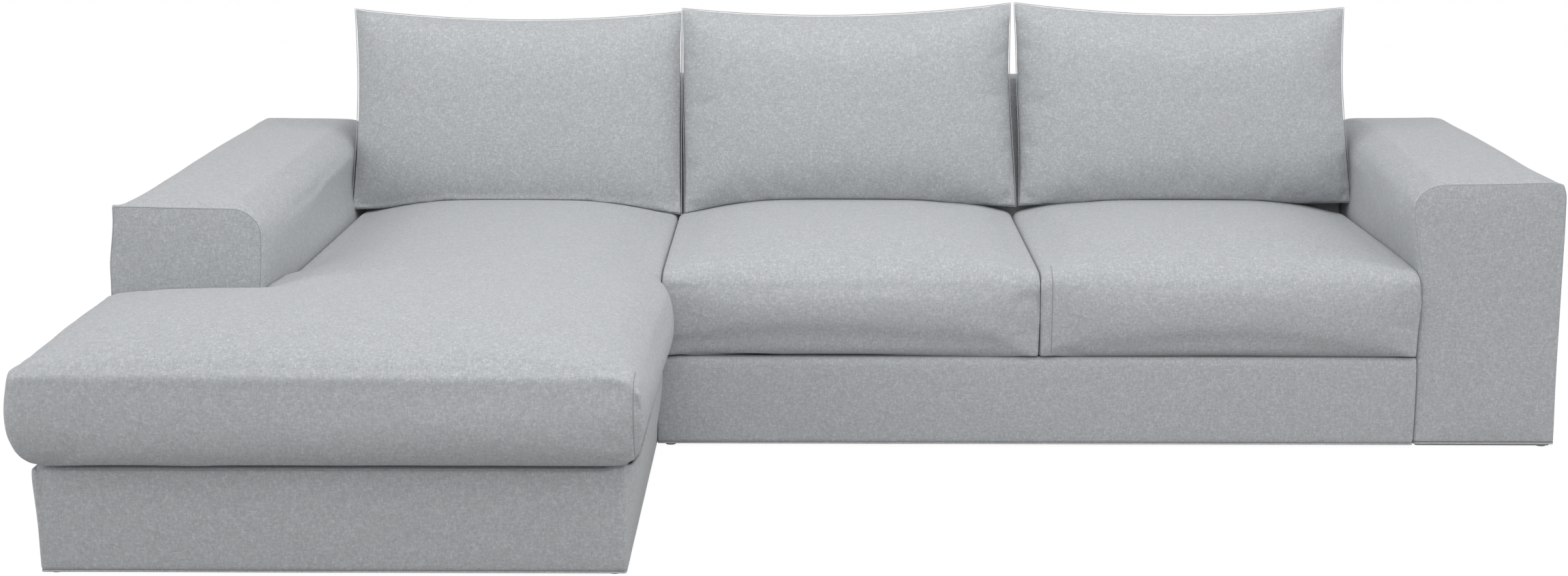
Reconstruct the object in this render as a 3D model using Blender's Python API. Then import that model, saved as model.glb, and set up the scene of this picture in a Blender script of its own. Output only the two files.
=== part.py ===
"""Corner sofa with a chaise on its left: timber frames, wire springs, padded covers and cushions.

Lengths are in metres. Z is up, the sofa faces -Y and X runs to its right as seen from the front.
Everything is placed from the outer face of the left arm (x = 0), the back of the sofa (y = 0) and
the floor (z = 0). A parent empty then moves the whole sofa so that the origin lies under the
middle of its bounding box.
"""
import math

import bmesh
import bpy

# Widths, from the left arm to the right arm
ARM_WIDTH = 0.318
CHAISE_SEAT_WIDTH = 0.807
SEAT_WIDTH = 0.843

# Depths, measured forward from the back of the sofa
RIGHT_ARM_DEPTH = 0.930
LEFT_ARM_DEPTH = 1.265
SEAT_BASE_PROUD = 0.004
SEAT_BASE_DEPTH = RIGHT_ARM_DEPTH + SEAT_BASE_PROUD
CHAISE_BASE_DEPTH = 1.784
BACK_TOP_DEPTH = 0.150

# Heights above the floor
ARM_HEIGHT = 0.620
BACK_HEIGHT = 0.743
RAIL_TOP = 0.204
SEAT_EDGE_HEIGHT = 0.405
GLIDE_HEIGHT = 0.008

# Boards, padding and other walls
RAIL = 0.022
ARM_BOARD = 0.016
TOP_BOARD = 0.018
BASE_PADDING = 0.010
ARM_SIDE_PADDING = 0.015
ARM_INNER_PADDING = 0.024
ARM_TOP_PADDING = 0.030
BACK_PADDING = 0.012
BACK_FRONT_PADDING = 0.020
BACK_TOP_PADDING = 0.026
BACK_END_PADDING = 0.012
DUST_COVER = 0.001

# Rounding of the padded arms and backs
ARM_INNER_RADIUS = 0.060
ARM_OUTER_RADIUS = 0.018
ARM_FACE_RADIUS = 0.014
BACK_REAR_RADIUS = 0.020
BACK_FRONT_RADIUS = 0.030
BACK_SLOPE = math.radians(8.3)

# How far the bases stand in from the cushions and from each other
CHAISE_LEFT_INSET = 0.015
CHAISE_RIGHT_INSET = 0.0135
MODULE_GAP = 0.006

# Seat cushions
SEAT_OVERHANG = 0.022
CHAISE_OVERHANG = 0.055
SEAT_CROWN = 0.052
CROWN_REACH = 0.30
SEAT_EDGE_RADIUS = 0.032
SEAT_CORNER_RADIUS = 0.036
SEAT_HEM_RADIUS = 0.016
CHAISE_HEM_RADIUS = 0.045
SEAT_FRONT_BULGE = 0.012
CHAISE_FRONT_BULGE = 0.010
CHAISE_LEFT_BULGE = 0.027
CHAISE_RIGHT_BULGE = 0.030
BULGE_AT_EDGES = 0.35
SEAT_BULGE_DEPTH = 0.12
CHAISE_BULGE_DEPTH = 0.15
NECK_LENGTH = 0.10
ARM_HEAP = 0.036
HEAP_ALONG_ARM = 0.30
HEAP_ACROSS_ARM = 0.49
HEAP_AHEAD = 0.60

# Loose back cushions
PILLOW_HEIGHT = 0.500
PILLOW_THICKNESS = 0.215
PILLOW_LEAN = math.radians(11.0)
PILLOW_SEAM_SETBACK = 0.080
PILLOW_SINKS = {"left": 0.030, "middle": 0.018, "right": 0.016}
PILLOW_DROOP = 0.045
PILLOW_CORNER_DROP = 0.020
PILLOW_TOP_DIP = 0.024
PILLOW_SIDE_DIP = 0.009
PILLOW_TOP_DRAW = 0.008
PILLOW_TOP_SLOPES = {"left": -0.003, "middle": 0.007, "right": -0.006}
PILLOW_TILTS = {"left": math.radians(1.5), "middle": 0.0, "right": 0.0}
PILLOW_ARM_GAP = 0.002
PILLOW_OVERRUN = 0.0105
PILLOW_CLOSE_GAP = 0.0045
PILLOW_OPEN_GAP = 0.0235
PILLOW_END_GAP = 0.005

# Wire springs
WIRE_RADIUS = 0.002
TIE_RADIUS = 0.0013
SPRING_WIDTH = 0.052
SPRING_PITCH = 0.060
TIE_SINK = 0.0005
SPRINGS_PER_SEAT = 4
CHAISE_REAR_SPRINGS = 4
CHAISE_FRONT_SPRINGS = 3

# Fixings
BOLT_RADIUS = 0.004
BOLT_HEAD_RADIUS = 0.010
BOLT_HEAD = 0.004
BOLT_HEAD_CHAMFER = 0.0016
BOLT_END = 0.005
BOLT_HEIGHT = 0.110
BOLT_SETBACK = 0.200
PLATE = 0.0015
PLATE_LENGTH = 0.090
PLATE_HEIGHT = 0.060
TONGUE_LENGTH = 0.050
GLIDE_RADIUS = 0.0125
GLIDE_SETBACK = 0.024

# Clearances between pieces
TOUCH = 0.0003
SOFT_GAP = 0.0015
REST_GAP = 0.0008
BOLT_PLAY = 0.0003

# Places that follow from the sizes above
X_LEFT_ARM = ARM_WIDTH
X_SPLIT = X_LEFT_ARM + CHAISE_SEAT_WIDTH
X_SEATS = X_SPLIT + SEAT_WIDTH
X_RIGHT_ARM = X_SEATS + SEAT_WIDTH
X_RIGHT = X_RIGHT_ARM + ARM_WIDTH
X_CHAISE_BASE = CHAISE_LEFT_INSET
X_CHAISE_BASE_END = X_SPLIT - CHAISE_RIGHT_INSET
X_SEAT_BASE = X_CHAISE_BASE_END + MODULE_GAP
X_SEAT_BASE_END = X_RIGHT_ARM - TOUCH
Z_COVER = GLIDE_HEIGHT + TOUCH
Z_RAIL = Z_COVER + DUST_COVER + TOUCH
Z_WIRE = RAIL_TOP + TOUCH + WIRE_RADIUS
Z_CUSHION = Z_WIRE + WIRE_RADIUS + TOUCH
Y_REAR_RAIL = -BACK_PADDING - TOUCH
Y_SHOULDER = -LEFT_ARM_DEPTH - TOUCH


def back_front(z):
    """Y of the padded front of the backrest at height z; its plane leans back as it rises."""
    return -BACK_TOP_DEPTH - (BACK_HEIGHT - z) * math.tan(BACK_SLOPE)


Y_SEAT_REAR = back_front(Z_CUSHION) - SOFT_GAP


def material(name, colour, roughness, metallic=0.0):
    """A Principled material; colour is linear RGB."""
    made = bpy.data.materials.new(name)
    made.use_nodes = True
    shader = made.node_tree.nodes["Principled BSDF"]
    shader.inputs["Base Color"].default_value = (*colour, 1.0)
    shader.inputs["Roughness"].default_value = roughness
    shader.inputs["Metallic"].default_value = metallic
    made.diffuse_color = (*colour, 1.0)
    return made


def place(name, mesh, surface):
    """Link a mesh as a named object that rides on the sofa's empty."""
    made = bpy.data.objects.new(name, mesh)
    mesh.materials.append(surface)
    bpy.context.scene.collection.objects.link(made)
    made.parent = SOFA
    return made


def mesh_of(name, points, faces):
    """A mesh from points and faces, with its faces turned outwards."""
    mesh = bpy.data.meshes.new(name)
    mesh.from_pydata(points, [], faces)
    shape = bmesh.new()
    shape.from_mesh(mesh)
    bmesh.ops.recalc_face_normals(shape, faces=shape.faces)
    shape.to_mesh(mesh)
    shape.free()
    return mesh


def prism_mesh(name, outline, axis, start, end):
    """An outline of two coordinates, drawn out along the third axis from start to end."""
    count = len(outline)

    def point(pair, along):
        spot = list(pair)
        spot.insert("XYZ".index(axis), along)
        return spot

    points = [point(pair, start) for pair in outline] + [point(pair, end) for pair in outline]
    faces = [list(range(count)), list(range(2 * count - 1, count - 1, -1))]
    for i in range(count):
        j = (i + 1) % count
        faces.append([i, j, count + j, count + i])
    return mesh_of(name, points, faces)


def prism(name, outline, axis, start, end, surface):
    return place(name, prism_mesh(name, outline, axis, start, end), surface)


def box(name, xs, ys, zs, surface):
    """A board or a plate, given by its limits along X, Y and Z."""
    outline = [(xs[0], ys[0]), (xs[1], ys[0]), (xs[1], ys[1]), (xs[0], ys[1])]
    return prism(name, outline, "Z", zs[0], zs[1], surface)


def guide(name, mesh):
    """A cutter: it shapes other pieces and is no piece itself."""
    made = bpy.data.objects.new(name, mesh)
    bpy.context.scene.collection.objects.link(made)
    made.parent = SOFA
    made.hide_render = True
    made.display_type = "WIRE"
    return made


def cut(piece, cutter):
    step = piece.modifiers.new(cutter.name, "BOOLEAN")
    step.operation = "DIFFERENCE"
    step.solver = "EXACT"
    step.object = cutter


def soften(piece, width, segments=2):
    """Round the right-angled edges of a padded piece."""
    step = piece.modifiers.new("soft edges", "BEVEL")
    step.width = width
    step.segments = segments
    step.limit_method = "ANGLE"
    step.angle_limit = math.radians(40.0)


def arc(centre, radius, start, end, steps):
    """Points of an arc, in degrees, both ends included."""
    turns = [math.radians(start + (end - start) * i / steps) for i in range(steps + 1)]
    return [(centre[0] + radius * math.cos(t), centre[1] + radius * math.sin(t)) for t in turns]


def turned_mesh(name, profile, centre, sides=10):
    """A round piece along X: profile holds (x, radius) pairs, centre is its (y, z)."""
    points = []
    for x, radius in profile:
        for i in range(sides):
            turn = math.tau * i / sides
            points.append((x, centre[0] + radius * math.cos(turn), centre[1] + radius * math.sin(turn)))
    faces = [list(range(sides)), list(range(len(points) - 1, len(points) - 1 - sides, -1))]
    for ring in range(len(profile) - 1):
        for i in range(sides):
            j = (i + 1) % sides
            low, high = ring * sides, (ring + 1) * sides
            faces.append([low + i, low + j, high + j, high + i])
    return mesh_of(name, points, faces)


def frame_rails():
    """Chipboard rails of both bases, set on edge in a ring."""
    zs = (Z_RAIL, RAIL_TOP)
    rear = (Y_REAR_RAIL - RAIL, Y_REAR_RAIL)

    front = -SEAT_BASE_DEPTH + BASE_PADDING + TOUCH
    inside = (front + RAIL + TOUCH, rear[0] - TOUCH)
    across = (X_SEAT_BASE, X_SEAT_BASE_END)
    box("seat_front_rail", across, (front, front + RAIL), zs, WOOD)
    box("seat_rear_rail", across, rear, zs, WOOD)
    box("seat_left_rail", (across[0], across[0] + RAIL), inside, zs, WOOD)
    box("seat_right_rail", (across[1] - RAIL, across[1]), inside, zs, WOOD)
    box("seat_centre_rail", (X_SEATS - RAIL / 2, X_SEATS + RAIL / 2), inside, zs, WOOD)

    left = X_CHAISE_BASE + BASE_PADDING + TOUCH
    arm_side = X_LEFT_ARM + TOUCH
    right = X_CHAISE_BASE_END - BASE_PADDING - TOUCH
    front = -CHAISE_BASE_DEPTH + BASE_PADDING + TOUCH
    shoulder = (Y_SHOULDER - RAIL, Y_SHOULDER)
    box("chaise_front_rail", (left, right), (front, front + RAIL), zs, WOOD)
    box("chaise_rear_rail", (arm_side, right), rear, zs, WOOD)
    box("chaise_right_rail", (right - RAIL, right), (front + RAIL + TOUCH, rear[0] - TOUCH), zs, WOOD)
    short = (front + RAIL + TOUCH, shoulder[0] - TOUCH)
    box("chaise_left_rail", (left, left + RAIL), short, zs, WOOD)
    box("chaise_shoulder_rail", (left, arm_side + RAIL), shoulder, zs, WOOD)
    box("chaise_arm_rail", (arm_side, arm_side + RAIL), (shoulder[1] + TOUCH, rear[0] - TOUCH), zs, WOOD)


def base_covers():
    """Padded cover fabric on the outside of the bases, and dust cover fabric under them."""
    zs = (Z_COVER, RAIL_TOP)
    chaise_front = -CHAISE_BASE_DEPTH
    seat_front = -SEAT_BASE_DEPTH
    across = (X_CHAISE_BASE, X_CHAISE_BASE_END)
    behind = chaise_front + BASE_PADDING + TOUCH
    box("chaise_front_cover", across, (chaise_front, chaise_front + BASE_PADDING), zs, FABRIC)
    box("chaise_left_cover", (across[0], across[0] + BASE_PADDING), (behind, Y_SHOULDER), zs, FABRIC)
    box("chaise_right_cover", (across[1] - BASE_PADDING, across[1]), (behind, Y_REAR_RAIL), zs, FABRIC)
    seat_across = (X_SEAT_BASE, X_SEAT_BASE_END)
    box("seat_front_cover", seat_across, (seat_front, seat_front + BASE_PADDING), zs, FABRIC)

    under = (Z_COVER, Z_COVER + DUST_COVER)
    inside = (across[0] + BASE_PADDING + TOUCH, across[1] - BASE_PADDING - TOUCH)
    box("chaise_dust_cover_front", inside, (behind, Y_SHOULDER), under, DUST)
    rear = (Y_SHOULDER + TOUCH, Y_REAR_RAIL)
    box("chaise_dust_cover_rear", (X_LEFT_ARM + TOUCH, inside[1]), rear, under, DUST)
    seat_rear = (seat_front + BASE_PADDING + TOUCH, Y_REAR_RAIL)
    box("seat_dust_cover", seat_across, seat_rear, under, DUST)


def arm(side, inner, outer, depth, rail):
    """One arm: a padded cover open at the bottom over four boards, bolted to a base rail.

    inner and outer are the x of its faces, and rail is the rail that it is bolted to.
    """
    out = 1 if outer > inner else -1
    top = ARM_HEIGHT
    corner_out = (outer - out * ARM_OUTER_RADIUS, top - ARM_OUTER_RADIUS)
    corner_in = (inner + out * ARM_INNER_RADIUS, top - ARM_INNER_RADIUS)
    outer_arc = arc(corner_out, ARM_OUTER_RADIUS, 0, 90, 3)
    inner_arc = arc(corner_in, ARM_INNER_RADIUS, 90, 180, 6)
    if out < 0:
        outer_arc = arc(corner_out, ARM_OUTER_RADIUS, 180, 90, 3)
        inner_arc = arc(corner_in, ARM_INNER_RADIUS, 90, 0, 6)
    outline = [(outer, Z_COVER), *outer_arc, *inner_arc, (inner, Z_COVER)]
    cover = prism(f"{side}_arm_cover", outline, "Y", -depth, 0.0, FABRIC)
    soften(cover, ARM_FACE_RADIUS)

    padding = ARM_SIDE_PADDING
    hollow_x = sorted((inner + out * ARM_INNER_PADDING, outer - out * padding))
    hollow_y = (-depth + padding, -padding)
    hollow_top = top - ARM_TOP_PADDING
    hollow_outline = [(hollow_x[0], hollow_y[0]), (hollow_x[1], hollow_y[0]),
                      (hollow_x[1], hollow_y[1]), (hollow_x[0], hollow_y[1])]
    below = -GLIDE_HEIGHT
    hollow = prism_mesh(f"{side}_arm_hollow", hollow_outline, "Z", below, hollow_top)
    cut(cover, guide(f"{side}_arm_hollow", hollow))

    xs = (hollow_x[0] + TOUCH, hollow_x[1] - TOUCH)
    ys = (hollow_y[0] + TOUCH, hollow_y[1] - TOUCH)
    board_top = hollow_top - TOUCH
    sides_top = board_top - TOP_BOARD - TOUCH
    side_ys = (ys[0] + ARM_BOARD + TOUCH, ys[1])
    box(f"{side}_arm_top_board", xs, ys, (board_top - TOP_BOARD, board_top), WOOD)
    box(f"{side}_arm_front_board", xs, (ys[0], ys[0] + ARM_BOARD), (Z_COVER, sides_top), WOOD)
    inner_face = inner + out * (ARM_INNER_PADDING + TOUCH)
    inner_xs = sorted((inner_face, inner_face + out * ARM_BOARD))
    inner_board = box(f"{side}_arm_inner_board", inner_xs, side_ys, (Z_COVER, sides_top), WOOD)
    outer_face = outer - out * (padding + TOUCH)
    outer_xs = sorted((outer_face, outer_face - out * ARM_BOARD))
    box(f"{side}_arm_outer_board", outer_xs, side_ys, (Z_COVER, sides_top), WOOD)

    rail_face = inner - out * (TOUCH + RAIL)
    tip = inner_face + out * (ARM_BOARD + BOLT_END)
    for end, y in (("front", -SEAT_BASE_DEPTH + BOLT_SETBACK), ("rear", -BOLT_SETBACK)):
        bolt(f"{side}_arm_bolt_{end}", out, rail_face, tip, y)
        bore = BOLT_RADIUS + BOLT_PLAY
        drill_span = [(rail_face - out * RAIL, bore), (tip + out * BOLT_END, bore)]
        drill_name = f"{side}_arm_drill_{end}"
        drill = guide(drill_name, turned_mesh(drill_name, drill_span, (y, BOLT_HEIGHT)))
        for piece in (bpy.data.objects[rail], cover, inner_board):
            cut(piece, drill)


def bolt(name, out, rail_face, tip, y):
    """A flat-headed bolt from inside the base, through its rail and into the arm's inner board."""
    under_head = rail_face - out * TOUCH
    head = under_head - out * BOLT_HEAD
    profile = [(head, BOLT_HEAD_RADIUS - BOLT_HEAD_CHAMFER),
               (head + out * BOLT_HEAD_CHAMFER, BOLT_HEAD_RADIUS),
               (under_head, BOLT_HEAD_RADIUS), (under_head, BOLT_RADIUS), (tip, BOLT_RADIUS)]
    place(name, turned_mesh(name, profile, (y, BOLT_HEIGHT)), STEEL)


def backrest(name, xs, shut_end, post_xs):
    """A backrest: a padded cover, open at its bottom and at one end, over posts and a top board.

    shut_end is 0 or 1, the end of xs next to an arm, where a padded wall closes the cover.
    """
    top = BACK_HEIGHT
    wall_foot = Z_CUSHION
    post_foot = RAIL_TOP + TOUCH
    rear_arc = arc((-BACK_REAR_RADIUS, top - BACK_REAR_RADIUS), BACK_REAR_RADIUS, 0, 90, 3)
    radius = BACK_FRONT_RADIUS
    centre = (back_front(top - radius) + radius / math.cos(BACK_SLOPE), top - radius)
    front_arc = arc(centre, radius, 90, 180 - math.degrees(BACK_SLOPE), 4)
    outline = [(0.0, Z_COVER), *rear_arc, *front_arc, (back_front(wall_foot), wall_foot),
               (-BACK_PADDING, wall_foot), (-BACK_PADDING, Z_COVER)]
    cover = prism(f"{name}_back_cover", outline, "X", xs[0], xs[1], FABRIC)

    inner_top = top - BACK_TOP_PADDING
    inner_foot = wall_foot - GLIDE_HEIGHT
    inside = [(back_front(inner_foot) + BACK_FRONT_PADDING, inner_foot),
              (back_front(inner_top) + BACK_FRONT_PADDING, inner_top),
              (-BACK_PADDING, inner_top), (-BACK_PADDING, inner_foot)]
    hollow_xs = [xs[0] - GLIDE_HEIGHT, xs[1] + GLIDE_HEIGHT]
    board_xs = list(xs)
    inwards = 1 - 2 * shut_end
    hollow_xs[shut_end] = xs[shut_end] + inwards * BACK_END_PADDING
    board_xs[shut_end] = hollow_xs[shut_end] + inwards * TOUCH
    hollow = prism_mesh(f"{name}_back_hollow", inside, "X", *hollow_xs)
    cut(cover, guide(f"{name}_back_hollow", hollow))

    board_top = inner_top - TOUCH
    board_low = board_top - TOP_BOARD
    post_top = board_low - TOUCH

    def board_front(z):
        return back_front(z) + BACK_FRONT_PADDING + TOUCH

    board = [(board_front(board_low), board_low), (board_front(board_top), board_top),
             (Y_REAR_RAIL, board_top), (Y_REAR_RAIL, board_low)]
    prism(f"{name}_back_top_board", board, "X", *board_xs, WOOD)
    post = [(board_front(post_foot), post_foot), (board_front(post_top), post_top),
            (Y_REAR_RAIL, post_top), (Y_REAR_RAIL, post_foot)]
    for post_name, x in post_xs.items():
        prism(f"{name}_back_post_{post_name}", post, "X", x, x + RAIL, WOOD)


def wire_mesh(name, points, radius):
    """A four-sided wire through points."""
    curve = bpy.data.curves.new(name, "CURVE")
    curve.dimensions = "3D"
    curve.bevel_depth = radius
    curve.bevel_resolution = 0
    curve.use_fill_caps = True
    spline = curve.splines.new("POLY")
    spline.points.add(len(points) - 1)
    for spot, point in zip(spline.points, points):
        spot.co = (*point, 1.0)
    shape = bpy.data.objects.new(name, curve)
    mesh = bpy.data.meshes.new_from_object(shape)
    bpy.data.objects.remove(shape)
    bpy.data.curves.remove(curve)
    return mesh


def spring_path(start, end, centre, along):
    """Square waves of one sinuous spring, from rail to rail along X or Y."""
    runs = max(4, round((end - start) / SPRING_PITCH)) + 1
    step = (end - start) / (runs - 1)
    half = SPRING_WIDTH / 2
    path = []
    for i in range(runs):
        here = start + step * i
        sides = (-half, half) if i % 2 == 0 else (half, -half)
        for side in sides:
            pair = (here, centre + side) if along == "X" else (centre + side, here)
            path.append((*pair, Z_WIRE))
    return path, step


def spring_unit(name, span, lines, along):
    """Springs clipped from rail to rail and joined by two tie wires across them."""
    start, end = span
    unit = None
    step = 0.0
    for i, centre in enumerate(lines):
        path, step = spring_path(start, end, centre, along)
        mesh = wire_mesh(f"{name}_{i}", path, WIRE_RADIUS)
        if unit is None:
            unit = place(name, mesh, STEEL)
        else:
            join(unit, guide(f"{name}_{i}", mesh))
    reach = SPRING_WIDTH / 2 + TIE_RADIUS * 2
    ends = (min(lines) - reach, max(lines) + reach)
    bays = round((end - start) / step)
    for part in (1, 2):
        here = start + step * (round(bays * part / 3) + 0.5)
        pair = [(here, end_at) if along == "X" else (end_at, here) for end_at in ends]
        path = [(*spot, Z_WIRE - TIE_SINK) for spot in pair]
        join(unit, guide(f"{name}_tie_{part}", wire_mesh(f"{name}_tie_{part}", path, TIE_RADIUS)))


def join(piece, other):
    step = piece.modifiers.new(other.name, "BOOLEAN")
    step.operation = "UNION"
    step.solver = "EXACT"
    step.object = other


def spread(low, high, count):
    """Centre lines of count pieces spread evenly between two limits."""
    return [low + (high - low) * (i + 0.5) / count for i in range(count)]


def springs():
    """Sinuous springs on the rails, front to back under the seats and across under the chaise."""
    hold = RAIL / 2
    seat_span = (-SEAT_BASE_DEPTH + BASE_PADDING + TOUCH + hold, Y_REAR_RAIL - hold)
    middle = spread(X_SEAT_BASE + RAIL, X_SEATS - RAIL / 2, SPRINGS_PER_SEAT)
    right = spread(X_SEATS + RAIL / 2, X_SEAT_BASE_END - RAIL, SPRINGS_PER_SEAT)
    spring_unit("seat_springs_middle", seat_span, middle, "Y")
    spring_unit("seat_springs_right", seat_span, right, "Y")

    right_end = X_CHAISE_BASE_END - BASE_PADDING - TOUCH - hold
    rear_span = (X_LEFT_ARM + TOUCH + hold, right_end)
    rear = spread(Y_SHOULDER, Y_SEAT_REAR, CHAISE_REAR_SPRINGS)
    spring_unit("chaise_springs_rear", rear_span, rear, "X")
    front_span = (X_CHAISE_BASE + BASE_PADDING + TOUCH + hold, right_end)
    front = spread(-CHAISE_BASE_DEPTH + BASE_PADDING + RAIL, Y_SHOULDER - RAIL, CHAISE_FRONT_SPRINGS)
    spring_unit("chaise_springs_front", front_span, front, "X")


def rise(distance):
    """How much of the crown stands at a distance from a cushion's edge, from 0 to 1."""
    left = 1.0 - min(max(distance / CROWN_REACH, 0.0), 1.0)
    return 1.0 - left * left


def smooth(value, start, end):
    """0 before start, 1 after end and an even S between them."""
    t = min(max((value - start) / (end - start), 0.0), 1.0)
    return t * t * (3.0 - 2.0 * t)


class SeatForm:
    """The shape of a seat cushion whose plan is one rectangle, or an L with the arm in its notch.

    The plan runs from low to high; notch is the inner corner of the L, or None.
    """

    def __init__(self, low, high, hem, notch=None):
        self.low = low
        self.high = high
        self.hem = hem
        self.notch = notch

    def crown(self, x, y):
        """Height of the crowned top above its edge."""
        part = rise(x - self.low[0]) * rise(self.high[0] - x) * rise(y - self.low[1])
        if self.notch:
            across = max(x - self.notch[0], 0.0)
            along = max(self.notch[1] - y, 0.0)
            part *= rise(math.hypot(across, along))
        return SEAT_CROWN * part

    def heap(self, x, y):
        """How much higher the edge stands near the arm's corner, which the cushion presses on."""
        if not self.notch:
            return 0.0
        across = (x - self.notch[0]) / HEAP_ACROSS_ARM
        along = y - self.notch[1]
        along /= HEAP_ALONG_ARM if along > 0 else HEAP_AHEAD
        return ARM_HEAP * max(0.0, 1.0 - across * across) * max(0.0, 1.0 - along * along)

    def top(self, x, y):
        crown = self.crown(x, y)
        return SEAT_EDGE_HEIGHT + crown + self.heap(x, y) * (1.0 - crown / SEAT_CROWN)

    def plates(self):
        """The rectangles that make up the plan."""
        if not self.notch:
            return [(self.low, self.high)]
        return [((self.notch[0], self.low[1]), self.high), (self.low, (self.high[0], self.notch[1]))]

    def holds(self, x, y):
        return any(low[0] < x < high[0] and low[1] < y < high[1] for low, high in self.plates())

    def inward(self, x, y):
        """Nearest point of the plan drawn in by the corner radius, and the way out from it."""
        radius = SEAT_CORNER_RADIUS
        best = []
        for low, high in self.plates():
            near = (min(max(x, low[0] + radius), high[0] - radius),
                    min(max(y, low[1] + radius), high[1] - radius))
            best.append((max(abs(x - near[0]), abs(y - near[1])), x - near[0], y - near[1]))
        least = min(item[0] for item in best)
        ties = [(dx, dy) for reach, dx, dy in best if reach < least + 1e-6]
        shortest = min(math.hypot(*way) for way in ties)
        return least, {way for way in ties if math.hypot(*way) < shortest + 1e-6}

    def settle(self, x, y, inset):
        """Move a plan point to its rounded corner and then in from the edge."""
        reach, ways = self.inward(x, y)
        if reach < 1e-7:
            return x, y
        keep = max(reach - inset, 0.0)
        if len(ways) > 1:
            for dx, dy in ways:
                x -= math.copysign(reach - keep, dx) if abs(dx) > 1e-7 else 0.0
                y -= math.copysign(reach - keep, dy) if abs(dy) > 1e-7 else 0.0
            return x, y
        dx, dy = next(iter(ways))
        length = math.hypot(dx, dy)
        return x - dx + dx / length * keep, y - dy + dy / length * keep


def edge_lines(low, high, cells):
    """Grid lines that come close together across the rounded edges."""
    radius = SEAT_CORNER_RADIUS
    first = [low, low + radius / 2, low + radius]
    last = [high - radius, high - radius / 2, high]
    inner = [low + radius + (high - low - 2 * radius) * i / cells for i in range(1, cells)]
    return first + inner + last


def seat_mesh(name, form, xs, ys, bulge):
    """A closed cushion over a grid: crowned top, rounded edges, walls and a flat underside."""
    radius = SEAT_EDGE_RADIUS
    corner = SEAT_CORNER_RADIUS
    hem = form.hem
    half = math.radians(45.0)
    # Each level of the wall is its inset from the edge and its height, from the hem to the top edge
    hem_turn = hem * (1 - math.sin(half))
    middle = (Z_CUSHION + hem + SEAT_EDGE_HEIGHT - radius) / 2
    high = 1.5 * half
    levels = [(hem_turn, Z_CUSHION + hem_turn), (0.0, Z_CUSHION + hem), (0.0, middle),
              (0.0, SEAT_EDGE_HEIGHT - radius),
              (radius * (1 - math.sin(high)), SEAT_EDGE_HEIGHT - radius * (1 - math.cos(high)))]
    points = []
    index = {}

    def vertex(i, j, level):
        key = (i, j, level)
        if key not in index:
            x, y = xs[i], ys[j]
            reach, ways = form.inward(x, y)
            depth = corner - reach
            if level == "top":
                turn = half * max(0.0, 1.0 - depth / corner)
                inset = radius * (1 - math.sin(turn)) - depth if depth < corner else 0.0
                inset = max(inset, 0.0)
                px, py = form.settle(x, y, inset)
                z = form.top(px, py) - (radius * (1 - math.cos(turn)))
            elif level == "under":
                px, py = form.settle(x, y, hem * max(0.0, 1.0 - depth / corner))
                z = Z_CUSHION
            else:
                inset, z = levels[level]
                px, py = form.settle(x, y, inset)
                z += form.heap(px, py) * (z - Z_CUSHION) / (SEAT_EDGE_HEIGHT - Z_CUSHION)
            index[key] = len(points)
            points.append(bulge(px, py, z))
        return index[key]

    cells = {(i, j) for i in range(len(xs) - 1) for j in range(len(ys) - 1)
             if form.holds((xs[i] + xs[i + 1]) / 2, (ys[j] + ys[j + 1]) / 2)}
    faces = []
    for i, j in sorted(cells):
        ring = [(i, j), (i + 1, j), (i + 1, j + 1), (i, j + 1)]
        faces.append([vertex(a, b, "top") for a, b in ring])
        faces.append([vertex(a, b, "under") for a, b in reversed(ring)])
        steps = [(0, -1), (1, 0), (0, 1), (-1, 0)]
        for side, (di, dj) in enumerate(steps):
            if (i + di, j + dj) in cells:
                continue
            a, b = ring[side], ring[(side + 1) % 4]
            stack = ["under", *range(len(levels)), "top"]
            for low, high in zip(stack, stack[1:]):
                faces.append([vertex(*a, low), vertex(*b, low), vertex(*b, high), vertex(*a, high)])
    return mesh_of(name, points, faces)


def face_share(z):
    """How far a cushion's wall swells at height z: 0 at its edges and 1 in the middle."""
    low = Z_CUSHION
    high = SEAT_EDGE_HEIGHT
    t = (2 * z - low - high) / (high - low)
    return max(0.0, 1.0 - t * t)


def seat_forms():
    """The three seat cushions, from the chaise to the right arm."""
    seat_front = -SEAT_BASE_DEPTH - SEAT_OVERHANG + SEAT_FRONT_BULGE
    chaise_front = -CHAISE_BASE_DEPTH - CHAISE_OVERHANG + CHAISE_FRONT_BULGE
    notch = (X_LEFT_ARM + SOFT_GAP, -LEFT_ARM_DEPTH - SOFT_GAP)
    rear = Y_SEAT_REAR
    middle = (X_SPLIT + SOFT_GAP, X_SEATS - SOFT_GAP)
    right = (X_SEATS + SOFT_GAP, X_RIGHT_ARM - SOFT_GAP)
    return {
        "chaise": SeatForm((0.0, chaise_front), (X_SPLIT - SOFT_GAP, rear), CHAISE_HEM_RADIUS, notch),
        "middle": SeatForm((middle[0], seat_front), (middle[1], rear), SEAT_HEM_RADIUS),
        "right": SeatForm((right[0], seat_front), (right[1], rear), SEAT_HEM_RADIUS),
    }


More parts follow.
